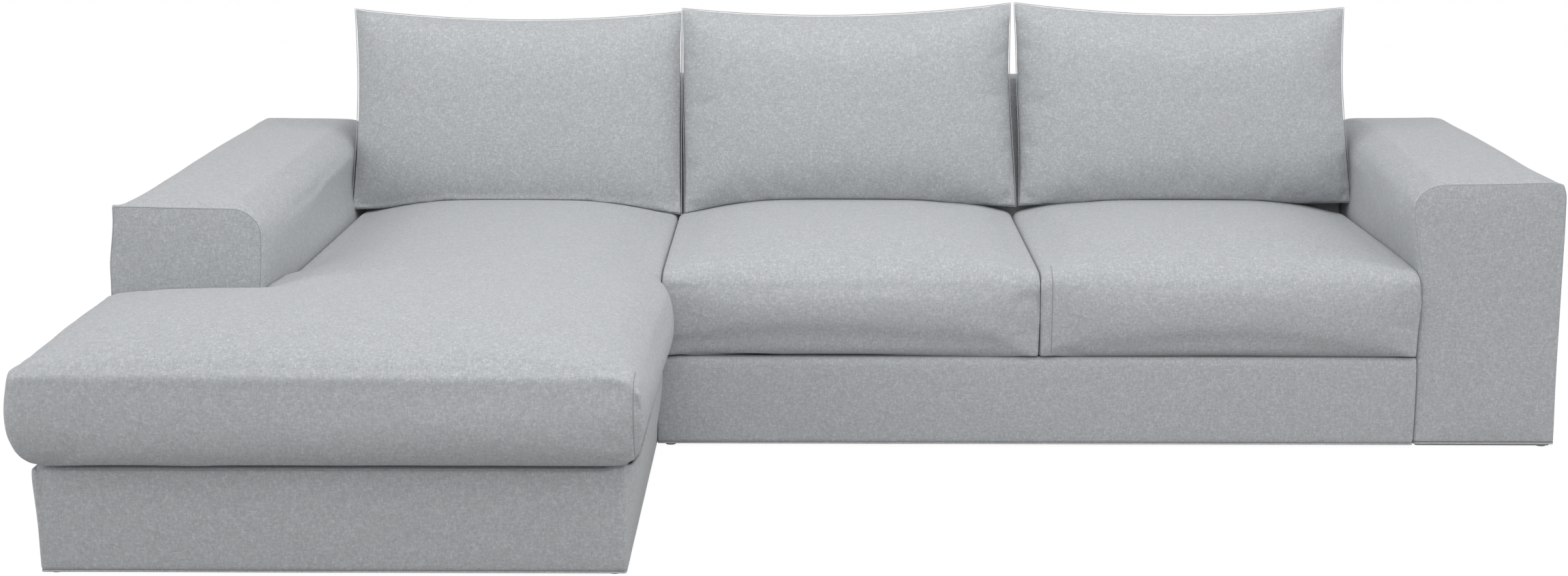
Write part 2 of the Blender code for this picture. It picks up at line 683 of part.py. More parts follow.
def seat_cushions(forms):
    """Fixed seat cushions, whose fronts swell out over the bases."""

    def seat_bulge(form):
        width = form.high[0] - form.low[0]
        centre = (form.low[0] + form.high[0]) / 2

        def swell(x, y, z):
            near_front = 1.0 - smooth(y, form.low[1], form.low[1] + SEAT_BULGE_DEPTH)
            across = 1.0 - abs(2 * (x - centre) / width) ** 4
            return x, y - SEAT_FRONT_BULGE * near_front * face_share(z) * across, z

        return swell

    def chaise_bulge(x, y, z):
        form = forms["chaise"]
        depth = CHAISE_BULGE_DEPTH
        share = face_share(z)
        side_share = BULGE_AT_EDGES + (1.0 - BULGE_AT_EDGES) * share
        near_front = 1.0 - smooth(y, form.low[1], form.low[1] + depth)
        near_left = 1.0 - smooth(x, form.low[0], form.low[0] + depth)
        near_right = smooth(x, form.high[0] - depth, form.high[0])
        ahead = -SEAT_BASE_DEPTH - SEAT_OVERHANG
        past_seat = 1.0 - smooth(y, ahead - NECK_LENGTH, ahead - SOFT_GAP)
        x -= CHAISE_LEFT_BULGE * near_left * side_share
        x += CHAISE_RIGHT_BULGE * near_right * past_seat * side_share
        y -= CHAISE_FRONT_BULGE * near_front * share
        return x, y, z

    for name in ("middle", "right"):
        form = forms[name]
        xs = edge_lines(form.low[0], form.high[0], 8)
        ys = edge_lines(form.low[1], form.high[1], 6)
        mesh = seat_mesh(f"seat_cushion_{name}", form, xs, ys, seat_bulge(form))
        place(f"seat_cushion_{name}", mesh, FABRIC)

    form = forms["chaise"]
    radius = SEAT_CORNER_RADIUS
    wing = edge_lines(form.low[0], form.notch[0] + radius, 3)[:-3]
    xs = wing + edge_lines(form.notch[0], form.high[0], 8)
    ys = edge_lines(form.low[1], form.notch[1], 4) + edge_lines(form.notch[1], form.high[1], 8)[2:]
    mesh = seat_mesh("seat_cushion_chaise", form, xs, ys, chaise_bulge)
    place("seat_cushion_chaise", mesh, FABRIC)


def pillow(side, left, right, seat):
    """A loose back cushion: a full, knife-edged pillow that leans on the backrest.

    It is set up in its own plane and then pressed flat where it meets the seat and the back.
    """
    columns, rows = 14, 10
    crowding = 1.25
    shoulder, falloff = 3, 0.62
    centre = (left + right) / 2
    half_width = (right - left) / 2
    foot_z = seat.top(centre, back_front(SEAT_EDGE_HEIGHT)) - PILLOW_SINKS[side]
    foot_y = back_front(foot_z) - PILLOW_SEAM_SETBACK

    def even(i, count):
        """Grid positions from -1 to 1 that crowd towards the seam."""
        t = -1.0 + 2.0 * i / count
        return math.copysign(1.0 - (1.0 - abs(t)) ** crowding, t)

    def spot(u, v, face):
        full = ((1.0 - abs(u) ** shoulder) * (1.0 - abs(v) ** shoulder)) ** falloff
        out = face * PILLOW_THICKNESS / 2 * full
        share = (1.0 + v) / 2
        up = PILLOW_HEIGHT * share + PILLOW_TOP_SLOPES[side] * u * share
        drawn = PILLOW_SIDE_DIP * (1.0 - v * v) + PILLOW_TOP_DRAW * share * share
        x = centre + u * (half_width - drawn) - up * math.tan(PILLOW_TILTS[side])
        if v > 0:
            up -= PILLOW_TOP_DIP * (1.0 - u * u) * v * v
        else:
            up -= PILLOW_CORNER_DROP * u ** 4 * v * v
        y = foot_y + up * math.sin(PILLOW_LEAN) - out * math.cos(PILLOW_LEAN)
        z = foot_z + up * math.cos(PILLOW_LEAN) + out * math.sin(PILLOW_LEAN)
        if face > 0:
            z -= PILLOW_DROOP * full * (1.0 - smooth(v, -1.0, 0.0))
        y = min(y, back_front(z) - REST_GAP)
        z = max(z, seat.top(x, y) + REST_GAP)
        return x, y, z

    points = []
    index = {}

    def vertex(i, j, face):
        border = i in (0, columns) or j in (0, rows)
        key = (i, j, 0 if border else face)
        if key not in index:
            index[key] = len(points)
            points.append(spot(even(i, columns), even(j, rows), key[2]))
        return index[key]

    faces = []
    for i in range(columns):
        for j in range(rows):
            ring = [(i, j), (i + 1, j), (i + 1, j + 1), (i, j + 1)]
            faces.append([vertex(a, b, 1) for a, b in ring])
            faces.append([vertex(a, b, -1) for a, b in reversed(ring)])
    name = f"back_cushion_{side}"
    place(name, mesh_of(name, points, faces), FABRIC)


def pillows(forms):
    """Three loose back cushions, one behind each seat; the first two touch, the others part."""
    first_end = X_SPLIT + PILLOW_OVERRUN
    pillow("left", X_LEFT_ARM + PILLOW_ARM_GAP, first_end, forms["chaise"])
    half_gap = PILLOW_OPEN_GAP / 2
    pillow("middle", first_end + PILLOW_CLOSE_GAP, X_SEATS - half_gap, forms["middle"])
    pillow("right", X_SEATS + half_gap, X_RIGHT_ARM - PILLOW_END_GAP, forms["right"])


def module_brackets():
    """The plate pair that keeps the two halves together: a tongue that drops into a slot."""
    y = -SEAT_BASE_DEPTH / 2
    z = (Z_RAIL + RAIL_TOP) / 2
    start = X_CHAISE_BASE_END + TOUCH
    half = PLATE_LENGTH / 2
    lip = TONGUE_LENGTH / 2 + TOUCH
    lip_end = start + MODULE_GAP - 3 * TOUCH
    outline = [(start, y - half), (lip_end, y - half), (lip_end, y - lip), (start + PLATE, y - lip),
               (start + PLATE, y + lip), (lip_end, y + lip), (lip_end, y + half), (start, y + half)]
    zs = (z - PLATE_HEIGHT / 2, z + PLATE_HEIGHT / 2)
    prism("module_bracket_slot", outline, "Z", zs[0], zs[1], STEEL)
    tongue_xs = (start + PLATE + TOUCH, X_SEAT_BASE - TOUCH)
    box("module_bracket_tongue", tongue_xs, (y - TONGUE_LENGTH / 2, y + TONGUE_LENGTH / 2), zs, STEEL)


def glides():
    """Low plastic glides under the corners; the whole sofa stands on them."""
    spots = {
        "chaise_left": (X_CHAISE_BASE + GLIDE_SETBACK, -CHAISE_BASE_DEPTH + GLIDE_SETBACK),
        "chaise_right": (X_CHAISE_BASE_END - GLIDE_SETBACK, -CHAISE_BASE_DEPTH + GLIDE_SETBACK),
        "left_arm": (GLIDE_SETBACK, -GLIDE_SETBACK),
        "seat_front": (X_SEAT_BASE + GLIDE_SETBACK, -SEAT_BASE_DEPTH + GLIDE_SETBACK),
        "seat_rear": (X_SEAT_BASE + GLIDE_SETBACK, -GLIDE_SETBACK),
        "right_arm_front": (X_RIGHT - GLIDE_SETBACK, -RIGHT_ARM_DEPTH + GLIDE_SETBACK),
        "right_arm_rear": (X_RIGHT - GLIDE_SETBACK, -GLIDE_SETBACK),
    }
    for name, (x, y) in spots.items():
        outline = arc((x, y), GLIDE_RADIUS, 0, 330, 11)
        prism(f"glide_{name}", outline, "Z", 0.0, GLIDE_HEIGHT, PLASTIC)


def centre_sofa():
    """Put the origin under the middle of the bounding box."""
    spots = [point.co for piece in bpy.data.objects if piece.type == "MESH" and not piece.hide_render
             for point in piece.data.vertices]
    middle = [(min(spot[k] for spot in spots) + max(spot[k] for spot in spots)) / 2 for k in (0, 1)]
    SOFA.location = (-middle[0], -middle[1], 0.0)


for old in list(bpy.data.objects):
    bpy.data.objects.remove(old)

SOFA = bpy.data.objects.new("sofa", None)
bpy.context.scene.collection.objects.link(SOFA)

FABRIC = material("grey_fabric", (0.46, 0.48, 0.50), 0.95)
WOOD = material("chipboard", (0.58, 0.42, 0.26), 0.75)
STEEL = material("spring_steel", (0.45, 0.45, 0.46), 0.40, 1.0)
PLASTIC = material("grey_plastic", (0.55, 0.55, 0.54), 0.50)
DUST = material("black_spunbond", (0.03, 0.03, 0.03), 0.95)

frame_rails()
base_covers()
arm("left", X_LEFT_ARM, 0.0, LEFT_ARM_DEPTH, "chaise_arm_rail")
arm("right", X_RIGHT_ARM, X_RIGHT, RIGHT_ARM_DEPTH, "seat_right_rail")
backrest("chaise", (X_LEFT_ARM + TOUCH, X_SPLIT - TOUCH), 0,
         {"left": X_LEFT_ARM + BACK_END_PADDING + 3 * TOUCH,
          "right": X_CHAISE_BASE_END - BASE_PADDING - TOUCH - RAIL})
backrest("seat", (X_SPLIT, X_RIGHT_ARM - TOUCH), 1,
         {"left": X_SPLIT + TOUCH, "middle": X_SEATS - RAIL / 2,
          "right": X_RIGHT_ARM - BACK_END_PADDING - 3 * TOUCH - RAIL})
springs()
FORMS = seat_forms()
seat_cushions(FORMS)
pillows(FORMS)
module_brackets()
glides()
centre_sofa()
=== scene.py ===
"""The looks of a corner sofa with a chaise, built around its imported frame.

Lengths are in metres. Z is up, the sofa faces -Y and +X is to the right as seen from the front.
"""
import math

import bmesh
import bpy
import numpy as np
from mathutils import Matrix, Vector, noise
from mathutils.bvhtree import BVHTree


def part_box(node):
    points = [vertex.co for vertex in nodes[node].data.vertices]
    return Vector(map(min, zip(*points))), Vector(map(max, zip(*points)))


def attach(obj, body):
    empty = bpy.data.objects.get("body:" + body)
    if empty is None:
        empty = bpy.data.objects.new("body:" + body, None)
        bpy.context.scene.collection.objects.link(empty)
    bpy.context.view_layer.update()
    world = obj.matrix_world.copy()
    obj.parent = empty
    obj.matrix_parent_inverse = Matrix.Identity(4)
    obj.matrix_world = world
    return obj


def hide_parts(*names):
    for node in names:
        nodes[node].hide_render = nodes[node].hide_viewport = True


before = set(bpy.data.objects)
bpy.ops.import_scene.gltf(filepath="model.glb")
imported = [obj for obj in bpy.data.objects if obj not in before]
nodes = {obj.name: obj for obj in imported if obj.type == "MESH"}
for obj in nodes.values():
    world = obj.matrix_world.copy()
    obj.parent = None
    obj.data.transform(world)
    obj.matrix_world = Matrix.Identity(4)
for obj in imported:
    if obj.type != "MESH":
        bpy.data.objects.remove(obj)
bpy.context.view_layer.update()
scene = bpy.context.scene

# The camera: a little above the seats and left of the middle, looking slightly down.
# Its lens and tilt come from a perspective fit of the sofa's straight edges.
PHOTO_WIDTH = 2300
FOCAL_PIXELS = 3174


def add_object(name, data):
    made = bpy.data.objects.new(name, data)
    scene.collection.objects.link(made)
    return made


camera_data = bpy.data.cameras.new("camera")
camera_data.sensor_width = 36.0
camera_data.lens = camera_data.sensor_width * FOCAL_PIXELS / PHOTO_WIDTH
camera_data.shift_y = -0.06
camera = add_object("camera", camera_data)
camera.location = (-0.11367, -4.7203, 1.3926)
camera.rotation_euler = (math.radians(80.179), 0.0, math.radians(0.483))
scene.camera = camera

# Base frames: rails of raw chipboard set on edge, one ring under the chaise and one under the seats.
# They are sawn, screwed together and wholly covered, so only their raw flaky faces matter.
CHIPBOARD = (0.58, 0.42, 0.26)
FLAKE = 0.005


def new_material(name, colour, roughness, metallic=0.0):
    """A Principled material; colour is linear RGB."""
    made = bpy.data.materials.new(name)
    made.use_nodes = True
    shader = made.node_tree.nodes["Principled BSDF"]
    shader.inputs["Base Color"].default_value = (*colour, 1.0)
    shader.inputs["Roughness"].default_value = roughness
    shader.inputs["Metallic"].default_value = metallic
    return made


def add_node(made, kind, inputs=None, **settings):
    """A node in a material, with its settings and the values of its inputs."""
    node = made.node_tree.nodes.new(kind)
    for key, value in settings.items():
        setattr(node, key, value)
    for key, value in (inputs or {}).items():
        node.inputs[key].default_value = value
    return node


def wire_up(made, start, end):
    made.node_tree.links.new(start, end)


def feed(made, socket, name):
    """Connect a socket to an input of a material's shader."""
    wire_up(made, socket, made.node_tree.nodes["Principled BSDF"].inputs[name])


def add_texture(made, kind, inputs=None, coordinates="Object", **settings):
    """A node that reads one kind of texture coordinates."""
    place = add_node(made, "ShaderNodeTexCoord")
    node = add_node(made, kind, inputs, **settings)
    wire_up(made, place.outputs[coordinates], node.inputs["Vector"])
    return node


def colour_ramp(made, factor, stops):
    """A colour ramp fed by factor; stops are pairs of a place and a linear colour."""
    node = add_node(made, "ShaderNodeValToRGB")
    elements = node.color_ramp.elements
    while len(elements) < len(stops):
        elements.new(0.5)
    for element, (place, colour) in zip(elements, stops):
        element.position = place
        element.color = (*colour, 1.0)
    wire_up(made, factor, node.inputs["Fac"])
    return node.outputs["Color"]


def add_bump(made, height, distance, strength=1.0):
    """Bump from a height socket into the material's shader."""
    node = add_node(made, "ShaderNodeBump", {"Distance": distance, "Strength": strength})
    wire_up(made, height, node.inputs["Height"])
    feed(made, node.outputs["Normal"], "Normal")


def shade(colour, factor):
    return tuple(min(channel * factor, 1.0) for channel in colour)


def make_chipboard():
    made = new_material("chipboard", CHIPBOARD, 0.75)
    flakes = add_texture(made, "ShaderNodeTexVoronoi", {"Scale": 1 / FLAKE, "Randomness": 1.0})
    grey = add_node(made, "ShaderNodeSeparateColor")
    wire_up(made, flakes.outputs["Color"], grey.inputs["Color"])
    stops = [(0.0, shade(CHIPBOARD, 0.62)), (0.45, CHIPBOARD), (1.0, shade(CHIPBOARD, 1.35))]
    feed(made, colour_ramp(made, grey.outputs["Red"], stops), "Base Color")
    add_bump(made, flakes.outputs["Distance"], 0.0004, 0.6)
    return made


def dress_nodes(made, *words):
    """Give a finish to the CAD nodes that have one of the words in their names."""
    for name in nodes:
        if any(word in name for word in words):
            nodes[name].data.materials.clear()
            nodes[name].data.materials.append(made)


chipboard = make_chipboard()
dress_nodes(chipboard, "_rail")

# Seat springs: sinuous wire springs, bent cold and clipped to the rails under slight tension.
# The wire is bright drawn steel with fine marks from the die.
STEEL = (0.45, 0.45, 0.46)


def add_marks(made, scale, detail, roughness, bump):
    """Fine marks, which vary the roughness between two values and give a slight relief."""
    marks = add_texture(made, "ShaderNodeTexNoise", {"Scale": scale, "Detail": detail})
    worn = add_node(made, "ShaderNodeMapRange", {"To Min": roughness[0], "To Max": roughness[1]})
    wire_up(made, marks.outputs["Fac"], worn.inputs["Value"])
    feed(made, worn.outputs["Result"], "Roughness")
    add_bump(made, marks.outputs["Fac"], *bump)


steel = new_material("spring_steel", STEEL, 0.38, 1.0)
add_marks(steel, 400.0, 3.0, (0.28, 0.50), (0.0001, 0.5))
dress_nodes(steel, "_springs_")

# Dust covers: black spunbond cloth stapled under both bases.
# The rollers that bond it leave rows of small dimples.
SPUNBOND = (0.030, 0.030, 0.032)
DIMPLE = 0.0022


def make_spunbond():
    made = new_material("black_spunbond", SPUNBOND, 0.92)
    dimples = add_texture(made, "ShaderNodeTexVoronoi", {"Scale": 1 / DIMPLE, "Randomness": 0.0})
    fibres = add_texture(made, "ShaderNodeTexNoise", {"Scale": 260.0, "Detail": 4.0})
    stops = [(0.30, shade(SPUNBOND, 0.7)), (0.70, shade(SPUNBOND, 1.9))]
    feed(made, colour_ramp(made, fibres.outputs["Fac"], stops), "Base Color")
    add_bump(made, dimples.outputs["Distance"], 0.0004, 0.8)
    return made


dress_nodes(make_spunbond(), "dust_cover")

# Base covers: the grey fabric over thin padding, pulled round the rails and stapled under them.
# The chaise's is one strip round three sides and the seats' is one panel; each ends in a folded hem.
FABRIC = (0.466, 0.480, 0.494)
DARK_YARN = 0.84
LIGHT_YARN = 1.26
YARN = 0.0014
FLECK_LENGTH = 0.0055
FLECK_WIDTH = 0.0018
CLUSTER = 0.0070
YARN_SHARE = 0.36
CLUSTER_SHARE = 0.22
CLOUD_SHARE = 0.06
WEAVE_SHARE = 0.35
COVER_THICKNESS = 0.0085
BASE_CORNER = 0.006
BASE_SWELL = 0.0020
HEM_LINES = (0.0025, 0.0048, 0.0072)
HEM_SINK = 0.0028
HEM_SEAM = 0.0017
BASE_CELL = 0.045
CORNER_CLEAR = 1.6
TURN_IN = 0.045
TUCK = 0.008
TUCK_HEIGHT = 0.022
TUCK_LINES = (0.10, 0.30, 0.60)
LEFT_FLARE = 0.0085
RIGHT_FLARE = 0.022
FLARE_FROM = 0.4
FLARE_FADE = 0.08
FLARE_SHORT = 0.01
MODULE_LINE = 0.001
HEM_DROP = 0.0035
LIP_PROUD = 0.002
LIP_HEIGHT = 0.02
CORNER_RAISED = 0.009
CORNER_REACH = 0.05
CLOTH_THICKNESS = 0.0016
WAVE = 0.0007
WAVE_SIZE = 0.16
SLACK = 0.0001


def make_fabric():
    """Melange weave: light, mid and dark flecks along both yarns, fuzz, and a yarn-sized relief."""
    made = new_material("grey_fabric", FABRIC, 0.93)
    shader = made.node_tree.nodes["Principled BSDF"]
    shader.inputs["Sheen Weight"].default_value = 0.22
    shader.inputs["Sheen Roughness"].default_value = 0.45
    shader.inputs["Specular IOR Level"].default_value = 0.20

    def flecks(across, along):
        """Short lengths of yarn, each of one tone."""
        turned = add_texture(made, "ShaderNodeMapping", {"Scale": (1 / across, 1 / along, 1.0)}, "UV")
        cells = add_node(made, "ShaderNodeTexVoronoi", {"Scale": 1.0}, voronoi_dimensions="2D")
        wire_up(made, turned.outputs["Vector"], cells.inputs["Vector"])
        tone = add_node(made, "ShaderNodeSeparateColor")
        wire_up(made, cells.outputs["Color"], tone.inputs["Color"])
        return tone.outputs["Red"]

    def mixed(first, operation, second):
        """A socket put through an operation with another socket or a number."""
        node = add_node(made, "ShaderNodeMath", operation=operation)
        wire_up(made, first, node.inputs[0])
        if isinstance(second, float):
            node.inputs[1].default_value = second
        else:
            wire_up(made, second, node.inputs[1])
        return node.outputs["Value"]

    yarns = mixed(flecks(FLECK_LENGTH, FLECK_WIDTH), "ADD", flecks(FLECK_WIDTH, FLECK_LENGTH))
    yarns = mixed(yarns, "MULTIPLY", YARN_SHARE)
    cluster = {"Scale": 1 / CLUSTER, "Detail": 2.0, "Roughness": 0.65}
    clusters = add_texture(made, "ShaderNodeTexNoise", cluster)
    cloudy = add_texture(made, "ShaderNodeTexNoise", {"Scale": 14.0, "Detail": 2.0})
    blotches = mixed(clusters.outputs["Fac"], "MULTIPLY", CLUSTER_SHARE)
    clouds = mixed(cloudy.outputs["Fac"], "MULTIPLY", CLOUD_SHARE)
    tone = mixed(mixed(yarns, "ADD", blotches), "ADD", clouds)
    stops = [(0.16, shade(FABRIC, DARK_YARN)), (0.42, shade(FABRIC, 0.97)), (0.58, shade(FABRIC, 1.03)),
             (0.84, shade(FABRIC, LIGHT_YARN))]
    feed(made, colour_ramp(made, tone, stops), "Base Color")

    split = add_texture(made, "ShaderNodeSeparateXYZ", coordinates="UV")
    rows = []
    for axis in ("X", "Y"):
        turns = mixed(split.outputs[axis], "MULTIPLY", math.pi / YARN)
        rows.append(mixed(turns, "SINE", 0.0))
    weave = mixed(mixed(rows[0], "MULTIPLY", rows[1]), "MULTIPLY", WEAVE_SHARE)
    add_bump(made, mixed(weave, "ADD", tone), 0.0007, 0.6)
    return made


fabric = make_fabric()


def choose(piece):
    """Make a piece the only selected object, and the active one."""
    bpy.ops.object.select_all(action="DESELECT")
    piece.select_set(True)
    bpy.context.view_layer.objects.active = piece


def edit_all(piece):
    """Open a piece for editing with all of it selected."""
    choose(piece)
    bpy.ops.object.mode_set(mode="EDIT")
    bpy.ops.mesh.select_all(action="SELECT")


def end_edit():
    bpy.ops.object.mode_set(mode="OBJECT")


def add_block(name, low, high):
    """A cube added at its size and place, left in edit mode."""
    bpy.ops.object.select_all(action="DESELECT")
    middle = [(a + b) / 2 for a, b in zip(low, high)]
    size = [b - a for a, b in zip(low, high)]
    bpy.ops.mesh.primitive_cube_add(size=1.0, location=middle, scale=size)
    block = bpy.context.object
    block.name = name
    bpy.ops.object.transform_apply(location=True, rotation=True, scale=True)
    bpy.ops.object.mode_set(mode="EDIT")
    return block


def pick(piece, kind, *tests, spared=None):
    """Select, in edit mode, the faces or edges of which every point passes one of the tests.

    Those of which every point passes the test spared are left out.
    """
    bpy.ops.mesh.select_mode(type=kind)
    bpy.ops.mesh.select_all(action="DESELECT")
    shape = bmesh.from_edit_mesh(piece.data)
    parts = {"FACE": shape.faces, "EDGE": shape.edges}[kind]
    for part in parts:
        places = [point.co for point in part.verts]
        passes = any(all(map(test, places)) for test in tests)
        part.select_set(passes and not (spared and all(map(spared, places))))
    shape.select_flush_mode()
    bmesh.update_edit_mesh(piece.data)


def drop_faces(piece, wanted):
    pick(piece, "FACE", wanted)
    bpy.ops.mesh.delete(type="FACE")


def round_edges(piece, radius, segments, *tests, spared=None):
    pick(piece, "EDGE", *tests, spared=spared)
    bpy.ops.mesh.bevel(offset=radius, segments=segments, profile=0.5, affect="EDGES")


def slice_at(axis, places):
    """Cut loops through all of a piece in edit mode, square to an axis."""
    for place in places:
        spot = [0.0, 0.0, 0.0]
        spot[axis] = place
        way = [float(axis == k) for k in range(3)]
        bpy.ops.mesh.select_all(action="SELECT")
        bpy.ops.mesh.bisect(plane_co=spot, plane_no=way)


def evenly(start, end, cell):
    """Places from start to end, about a cell apart."""
    count = max(1, round((end - start) / cell))
    return [start + (end - start) * i / count for i in range(count + 1)]


def near(value, place, reach=0.0002):
    return abs(value - place) < reach


def apply_modifier(piece, kind, **settings):
    choose(piece)
    step = piece.modifiers.new(kind.lower(), kind)
    for key, value in settings.items():
        setattr(step, key, value)
    bpy.ops.object.modifier_apply(modifier=step.name)


def round_off(piece):
    apply_modifier(piece, "SUBSURF", levels=1, render_levels=1)


def push_out(piece, amounts):
    """Move each point of a piece along its normal by its own amount."""
    ways = [point.normal.copy() for point in piece.data.vertices]
    for point, way, amount in zip(piece.data.vertices, ways, amounts):
        point.co += way * amount


def smooth_step(value, start, end):
    """0 before start, 1 after end and an even S between them."""
    t = min(max((value - start) / (end - start), 0.0), 1.0)
    return t * t * (3.0 - 2.0 * t)


def drape(piece, foot, top, swell, tuck=0.0, flares=(0.0, 0.0), flare_start=0.0, flare_end=0.0):
    """Let a flat cover swell and wave a little, and sink its hem's line.

    Its front's top edge is tucked in, and its left and right sides flare out towards the cushion.
    """
    amounts = []
    for point in piece.data.vertices:
        share = (point.co.z - foot) / (top - foot)
        out = swell * 4 * share * (1 - share)
        out += WAVE * noise.noise(point.co / WAVE_SIZE)
        if near(point.co.z, foot + HEM_LINES[1]):
            out -= HEM_SINK
        curl = min(max(0.0, 1.0 - (top - point.co.z) / TUCK_HEIGHT), 1.0)
        out -= tuck * (1.0 - math.sqrt(1.0 - curl * curl)) * max(0.0, -point.normal.y)
        out += flares[0] * max(0.0, -point.normal.x) * smooth_step(share, FLARE_FROM, 1.0)
        along = smooth_step(flare_end - point.co.y, 0.0, FLARE_FADE)
        along *= smooth_step(point.co.y - flare_start, 0.0, FLARE_FADE)
        out += flares[1] * max(0.0, point.normal.x) * smooth_step(share, 0.0, 1.0) * along
        amounts.append(out)
    push_out(piece, amounts)


def finish_piece(piece, body, made):
    """Give a finished piece its weave map, material and body."""
    edit_all(piece)
    bpy.ops.uv.cube_project(cube_size=1.0, correct_aspect=False)
    end_edit()
    bpy.ops.object.shade_smooth()
    piece.data.materials.clear()
    piece.data.materials.append(made)
    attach(piece, body)


def seam_along(piece, name, spot, way, radius, made, kept=None):
    """A thin sewn seam where a plane cuts a piece; kept is a test for the stretch that shows."""
    seam = add_object(name, piece.data.copy())
    edit_all(seam)
    bpy.ops.mesh.bisect(plane_co=spot, plane_no=way, clear_inner=True, clear_outer=True)
    if kept:
        pick(seam, "EDGE", lambda p: not kept(p))
        bpy.ops.mesh.delete(type="EDGE")
    bpy.ops.mesh.select_all(action="SELECT")
    bpy.ops.mesh.remove_doubles(threshold=radius)
    end_edit()
    tube_from_line(seam, radius, "root", made)


def tube_from_line(seam, radius, body, made):
    """Turn a piece that is only a line of edges into a thin tube of fabric."""
    choose(seam)
    bpy.ops.object.convert(target="CURVE")
    seam.data.bevel_depth = radius
    seam.data.bevel_resolution = 1
    seam.data.use_fill_caps = True
    bpy.ops.object.convert(target="MESH")
    finish_piece(seam, body, made)


def painted_shade_fabric(name, factor):
    """A seam or hem line's fabric in one flat tone, darker by a factor: painted shade for the groove
    where stitches draw it in.
    """
    made = fabric.copy()
    made.name = name
    colour = made.node_tree.nodes["Principled BSDF"].inputs["Base Color"]
    made.node_tree.links.remove(colour.links[0])
    colour.default_value = (*shade(FABRIC, factor), 1.0)
    return made


# Seam and hem lines are painted darker than the fabric: painted shade in the seams' grooves, and the
# darkest is painted shadow along the sunk hem.
hem_shadow_fabric = painted_shade_fabric("grey_fabric_hem_painted_shadow", 0.45)
seam_shade_fabric = painted_shade_fabric("grey_fabric_seam_painted_shade", 0.74)
faint_seam_shade_fabric = painted_shade_fabric("grey_fabric_faint_seam_painted_shade", 0.90)


def base_cover(name, low, high, corners, dropped, covered,
               flares=(0.0, 0.0), flare_end=0.0, raised=None):
    """A cover strip: a block without the sides in dropped, with its upright corners rounded.

    Raised is the place in plan of a corner that is pulled up a little.
    """
    piece = add_block(name, low, high)
    drop_faces(piece, lambda p: near(p.z, low.z))
    drop_faces(piece, lambda p: near(p.z, high.z))
    drop_faces(piece, lambda p: near(p.y, high.y))
    for x in corners:
        round_edges(piece, BASE_CORNER, 4, lambda p, x=x: near(p.y, low.y) and near(p.x, x))
    clear = BASE_CORNER * CORNER_CLEAR
    slice_at(0, evenly(low.x + clear, high.x - clear, BASE_CELL))
    if high.y - low.y > 2 * clear:
        slice_at(1, evenly(low.y + clear, high.y - clear, BASE_CELL))
    slice_at(2, [low.z + rise for rise in HEM_LINES])
    slice_at(2, evenly(low.z + HEM_LINES[-1] * 2, high.z - TUCK_HEIGHT, BASE_CELL))
    slice_at(2, [high.z - TUCK_HEIGHT * share for share in TUCK_LINES])
    for wanted in dropped:
        drop_faces(piece, wanted)
    end_edit()
    drape(piece, low.z, high.z, BASE_SWELL, TUCK, flares, low.y, flare_end)
    # The hem's line is a thin tube in a dark flat colour: painted shadow where the hem sinks in.
    seam_along(piece, f"{name}_hem", (0, 0, low.z + HEM_LINES[1]), (0, 0, 1), HEM_SEAM, hem_shadow_fabric)
    apply_modifier(piece, "SOLIDIFY", thickness=COVER_THICKNESS, offset=-1.0)
    round_off(piece)
    turned = turned_top(low, high, corners)
    choose(piece)
    turned.select_set(True)
    bpy.ops.object.join()
    if raised:
        for point in piece.data.vertices:
            away = math.hypot(point.co.x - raised[0], point.co.y - raised[1])
            at_top = smooth_step(point.co.z, high.z - TUCK_HEIGHT, high.z)
            point.co.z += CORNER_RAISED * at_top * (1.0 - smooth_step(away, 0.0, CORNER_REACH))
    finish_piece(piece, "root", fabric)
    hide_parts(*covered)


def turned_top(low, high, corners):
    """The cover's top edge, turned in over the rails and stapled to them under the cushions."""
    edge = Vector((low.x, low.y + TUCK - LIP_PROUD, high.z - LIP_HEIGHT))
    far = Vector((high.x, max(high.y, edge.y + TURN_IN), high.z + CLOTH_THICKNESS))
    turned = add_block("turned_top", edge, far)
    inner = (low.x + TURN_IN, high.x - TURN_IN)
    for x in corners:
        round_edges(turned, BASE_CORNER, 4, lambda p, x=x: near(p.y, edge.y) and near(p.x, x))
    slice_at(0, inner)
    slice_at(1, [edge.y + TURN_IN])
    drop_faces(turned, lambda p: p.z < far.z - SLACK)
    drop_faces(turned, lambda p: (inner[0] - SLACK < p.x < inner[1] + SLACK
                                  and p.y > edge.y + TURN_IN - SLACK))
    end_edit()
    apply_modifier(turned, "SOLIDIFY", thickness=CLOTH_THICKNESS, offset=-1.0)
    return turned


front_low, front_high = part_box("chaise_front_cover")
front_low.z -= HEM_DROP
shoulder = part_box("chaise_left_cover")[1].y
base_high = Vector((front_high.x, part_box("chaise_right_cover")[1].y, front_high.z))
behind_shoulder = [lambda p: near(p.x, front_low.x, reach=0.001) and p.y > shoulder - SLACK]
base_cover("chaise_base_cover", front_low, base_high, (front_low.x, base_high.x), behind_shoulder,
           ["chaise_front_cover", "chaise_left_cover", "chaise_right_cover"],
           (LEFT_FLARE, RIGHT_FLARE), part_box("seat_front_cover")[0].y - FLARE_SHORT,
           (base_high.x, front_low.y))
rail_low, rail_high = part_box("seat_front_cover")
rail_low.z -= HEM_DROP / 2
rail_low.x = base_high.x + MODULE_LINE
base_cover("seat_base_cover", rail_low, rail_high, (rail_high.x,),
           [lambda p: near(p.x, rail_low.x)], ["seat_front_cover"])

